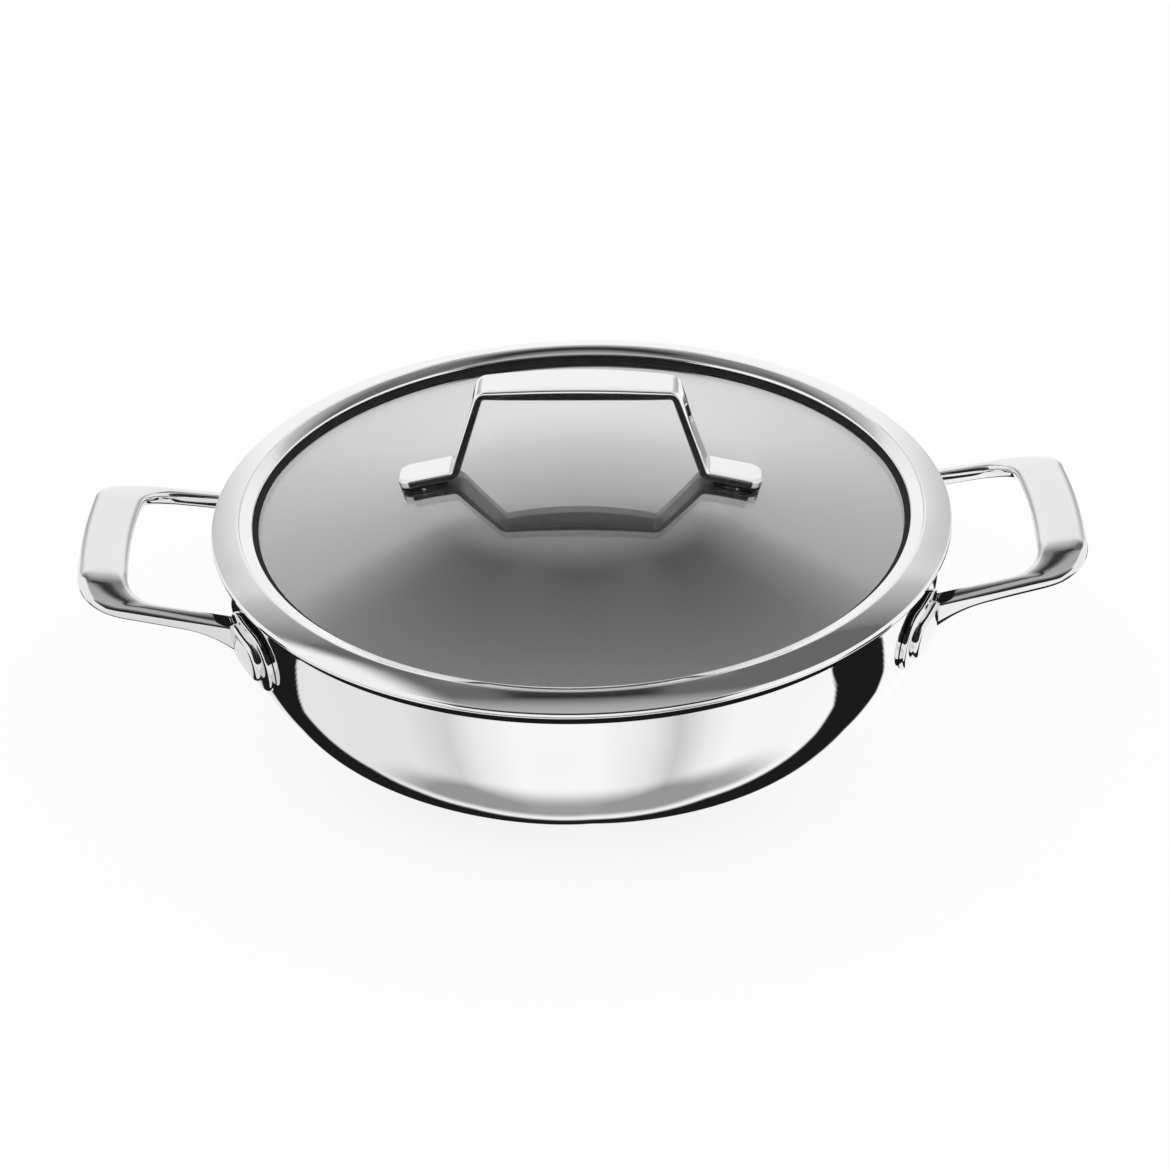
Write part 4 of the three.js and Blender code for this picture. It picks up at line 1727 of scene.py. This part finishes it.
@dataclass(frozen=True)
class Ceiling:
    """The sheet over the pan, from the backdrop to the dark behind the camera.

    Angles are in degrees: 0 is the backdrop, 90 overhead and 180 behind the camera. Sides are
    shares of the radius, away from the middle of the sheet.
    """

    radius: float = 3000.0
    half_width: float = 2600.0
    rows: int = 240
    columns: int = 90
    # Brightness along the middle of the sheet.
    tones: Stops = (
        (1.0, 1.0),
        (31.0, 1.0),
        (36.0, 0.95),
        (41.0, 0.86),
        (44.0, 0.77),
        (47.0, 0.66),
        (50.0, 0.57),
        (53.0, 0.51),
        (56.0, 0.41),
        (58.0, 0.31),
        (60.0, 0.24),
        (61.0, 0.2),
        (62.5, 0.05),
        (64.5, 0.03),
        (66.0, 0.2),
        (68.0, 0.36),
        (70.0, 0.45),
        (95.0, 0.5),
        (115.0, 0.15),
        (130.0, 0.04),
        (179.5, 0.01),
    )
    # How far to each side the dark reaches, and how softly it ends.
    left_reach: Stops = (
        (45.0, 0.5),
        (50.0, 0.44),
        (53.0, 0.35),
        (56.0, 0.27),
        (58.0, 0.24),
        (62.0, 0.21),
        (66.0, 0.19),
        (75.0, 0.2),
        (95.0, 0.35),
        (120.0, 0.7),
    )
    right_reach: Stops = (
        (45.0, 0.5),
        (58.0, 0.45),
        (62.0, 0.42),
        (64.0, 0.38),
        (68.0, 0.34),
        (75.0, 0.3),
        (95.0, 0.35),
        (120.0, 0.7),
    )
    dark_edge: float = 0.1
    # How much earlier the sheet darkens away from its middle.
    lean: float = 125.0
    lean_side: float = 0.27
    lean_span: Span = (39.0, 46.0, 56.0, 62.0)
    # The least brightness away from the middle.
    flank: float = 0.15
    flank_side: Point2 = (0.07, 0.13)
    flank_end: Point2 = (66.0, 75.0)
    # The grey folds to both sides of the backdrop.
    fold_depth: Stops = ((0.0, 0.6), (11.0, 0.5), (23.0, 0.42), (35.0, 0.32), (45.0, 0.0))
    fold_side: Span = (0.27, 0.5, 0.62, 0.8)

    def tone(self, point: Vector) -> float:
        """Brightness of the sheet at a point.

        Args:
            point: A point of the sheet.

        Returns:
            The brightness: dark overhead with bright sides, and grey folds beside the backdrop.
        """
        angle = math.degrees(math.atan2(point.z, point.y))
        side = abs(point.x) / self.radius
        lean = self.lean * min(side, self.lean_side) ** 2 * plateau(self.lean_span, angle)
        flank = self.flank * ease(*self.flank_side, side) * (1 - ease(*self.flank_end, angle))
        middle = max(curve(self.tones, angle + lean), flank)
        reach = curve(self.left_reach if point.x < 0 else self.right_reach, angle)
        tone = middle + (1 - middle) * ease(reach, reach + self.dark_edge, side)
        return tone - curve(self.fold_depth, angle) * plateau(self.fold_side, side)

    def build(self) -> None:
        """Hangs the sheet over the pan."""
        low, high = self.tones[0][0], self.tones[-1][0]
        widths = [self.half_width * (2 * k / self.columns - 1) for k in range(self.columns + 1)]
        rows = []
        for i in range(self.rows + 1):
            angle = math.radians(low + (high - low) * i / self.rows)
            height, depth = self.radius * math.sin(angle), self.radius * math.cos(angle)
            rows.append([Vector((width, depth, height)) for width in widths])
        Card("card_ceiling").build(rows, self.tone, closed=False)


@dataclass(frozen=True)
class RimShade:
    """A narrow dark ring that keeps the floor's light out of the pan's flared rim: painted shade
    for the shadow of the gap under the lid's lip.
    """

    inner: float = 142.85
    outer: float = 149.0
    height: float = 73.3
    dark: float = 0.01
    sides: int = 256

    def build(self) -> None:
        """Hangs the ring under the rim."""
        rows = [circle(radius, self.height, self.sides) for radius in (self.inner, self.outer)]
        Card("card_rim").build(rows, lambda point: self.dark, closed=True)


@dataclass(frozen=True)
class FloorSheet:
    """The sheet round the pan with the dark bands that the polished wall shows, and a painted
    shadow under the pan.
    """

    inner: float = 90.0
    outer: float = 330.0
    lift: float = 0.2
    rings: int = 160
    sides: int = 540
    dark: float = 0.012
    grey: float = 0.34
    # The painted shadow under the pan, from where it starts to where it is full.
    under: Point2 = (108.0, 102.0)
    # The pale panels before the pan: their brightness from the left line to the right one,
    # both lines as a place and a slope along Y, and where the panels fade in.
    panels: Stops = (
        (-0.4, 0.86),
        (0.0, 0.71),
        (0.16, 0.92),
        (0.35, 1.05),
        (0.65, 1.05),
        (0.86, 0.87),
        (0.97, 0.65),
        (1.12, 0.92),
        (1.3, 1.05),
    )
    left_line: Point2 = (77.0, 1.0)
    right_line: Point2 = (-53.2, -0.63)
    panel_fade: Point2 = (124.0, 142.0)
    # The grey strip before the dark band: its width to both sides, and its place.
    strip_half: Point2 = (110.0, 60.0)
    strip_span: Span = (2.0, 9.0, 16.0, 38.0)
    # The two edges of the dark band, and how soft they are.
    far_edge: Stops = (
        (-165.0, -62.0),
        (-150.0, -64.0),
        (-125.0, -80.0),
        (-100.0, -97.0),
        (-75.0, -108.0),
        (-50.0, -116.0),
        (0.0, -123.0),
        (50.0, -122.0),
        (100.0, -110.0),
        (120.0, -106.0),
        (150.0, -104.0),
        (175.0, -110.0),
        (195.0, -120.0),
    )
    near_edge: Stops = (
        (-205.0, -15.0),
        (-150.0, -22.0),
        (-125.0, -50.0),
        (-75.0, -80.0),
        (-50.0, -93.0),
        (0.0, -113.0),
        (25.0, -106.0),
        (75.0, -94.0),
        (100.0, -87.0),
        (120.0, -79.0),
        (150.0, -58.0),
        (170.0, -52.0),
    )
    soft: float = 3.0

    def tone(self, point: Vector) -> float:
        """Brightness of the sheet at a point, the same before and behind the pan.

        Args:
            point: A point of the sheet.

        Returns:
            The brightness: pale panels, a grey strip, the dark band and the painted shadow under
                the pan.
        """
        x, y = point.x, -abs(point.y)
        away = math.hypot(x, y)
        left, right = (place + slope * y for place, slope in (self.left_line, self.right_line))
        panel = curve(self.panels, (x - left) / max(right - left, 1.0))
        tone = 1 + (panel - 1) * ease(*self.panel_fade, away)
        far, near = curve(self.far_edge, x), curve(self.near_edge, x)
        strip = ease(*self.strip_half, abs(x)) * plateau(self.strip_span, far - y)
        tone = max(tone - (1 - self.grey) * strip, self.grey)
        half = self.soft / 2
        band = ease(far - half, far + half, y) * ease(near + half, near - half, y)
        # The dark under the pan is a painted shadow.
        return self.dark + (tone - self.dark) * (1 - max(band, ease(*self.under, away)))

    def build(self) -> None:
        """Lays the sheet just above the floor."""
        step = (self.outer - self.inner) / self.rings
        radii = [self.inner + step * i for i in range(self.rings + 1)]
        rows = [circle(radius, self.lift, self.sides) for radius in radii]
        Card("card_floor").build(rows, self.tone, closed=True)


@dataclass(frozen=True)
class Studio:
    """Floor, light and camera."""

    distance: float = 1250.0
    azimuth: float = math.radians(-0.6)
    elevation: float = math.radians(31.56)
    roll: float = math.radians(-1.561)
    slide: Point2 = (1.10, -13.13)
    aim_height: float = 60.0
    lens: float = 95.64
    sensor: float = 36.0
    clip_m: Point2 = (0.01, 50.0)
    floor_half: float = 6000.0
    floor_drop: float = 0.3
    floor_colour: Colour = (0.95, 0.95, 0.95)
    glow: float = 0.85

    def camera(self) -> None:
        """Sets the camera to the photograph's view."""
        flat = math.cos(self.elevation)
        back = Vector((0, 0, math.sin(self.elevation)))
        back += Vector((math.sin(self.azimuth), -math.cos(self.azimuth), 0)) * flat
        right = Vector((math.cos(self.azimuth), math.sin(self.azimuth), 0))
        up = back.cross(right)
        tilted_right = right * math.cos(self.roll) + up * math.sin(self.roll)
        tilted_up = up * math.cos(self.roll) - right * math.sin(self.roll)
        spot = Vector((0, 0, self.aim_height)) + back * self.distance
        spot += tilted_right * self.slide[0] + tilted_up * self.slide[1]
        data = bpy.data.cameras.new("camera")
        data.lens = self.lens
        data.sensor_width = self.sensor
        data.clip_start, data.clip_end = self.clip_m
        camera = bpy.data.objects.new("camera", data)
        axes = Matrix((tilted_right, tilted_up, back)).transposed().to_4x4()
        camera.matrix_world = Matrix.Translation(spot * MM) @ axes
        bpy.context.scene.collection.objects.link(camera)
        bpy.context.scene.camera = camera

    def floor(self) -> None:
        """Lays the pale floor."""
        half = self.floor_half * MM
        drop = -self.floor_drop * MM
        corners = [(x * half, y * half, drop) for x, y in ((-1, -1), (1, -1), (1, 1), (-1, 1))]
        mesh = bpy.data.meshes.new("floor")
        mesh.from_pydata(corners, [], [(0, 1, 2, 3)])
        bare_object(mesh)
        material, tree = empty_material("floor_white")
        output = tree.nodes.new("ShaderNodeOutputMaterial")
        glow = tree.nodes.new("ShaderNodeEmission")
        matt = tree.nodes.new("ShaderNodeBsdfDiffuse")
        matt.inputs["Color"].default_value = (*self.floor_colour, 1.0)
        mix = tree.nodes.new("ShaderNodeMixShader")
        mix.inputs["Fac"].default_value = self.glow
        tree.links.new(matt.outputs["BSDF"], mix.inputs[1])
        tree.links.new(glow.outputs["Emission"], mix.inputs[2])
        tree.links.new(mix.outputs["Shader"], output.inputs["Surface"])
        mesh.materials.append(material)

    def world(self) -> None:
        """Surrounds the scene with white."""
        world = bpy.data.worlds.new("studio")
        bpy.context.scene.world = world
        world.use_nodes = True
        background = world.node_tree.nodes["Background"]
        background.inputs["Color"].default_value = (1.0, 1.0, 1.0, 1.0)
        background.inputs["Strength"].default_value = 1.0

    def build(self) -> None:
        """Sets up the whole studio."""
        self.camera()
        self.floor()
        self.world()
        Ceiling().build()
        FloorSheet().build()
        RimShade().build()
        bpy.context.scene.view_settings.view_transform = "Standard"


def main() -> None:
    """Builds the studio, the pan and the lid in order."""
    logging.basicConfig(level=logging.INFO, format="%(name)s: %(message)s")
    finishes = Finishes()
    Studio().build()
    Bowl().build(finishes)
    Base().build(finishes)
    for side in Side:
        SideHandle(side).build(finishes)
    LidRing().build(finishes)
    LidEdgeShade().build(finishes)
    LidGlass().build(finishes)
    LidHandle().build(finishes)
    for side in Side:
        Fixing(side).build(finishes)


if __name__ == "__main__":
    main()
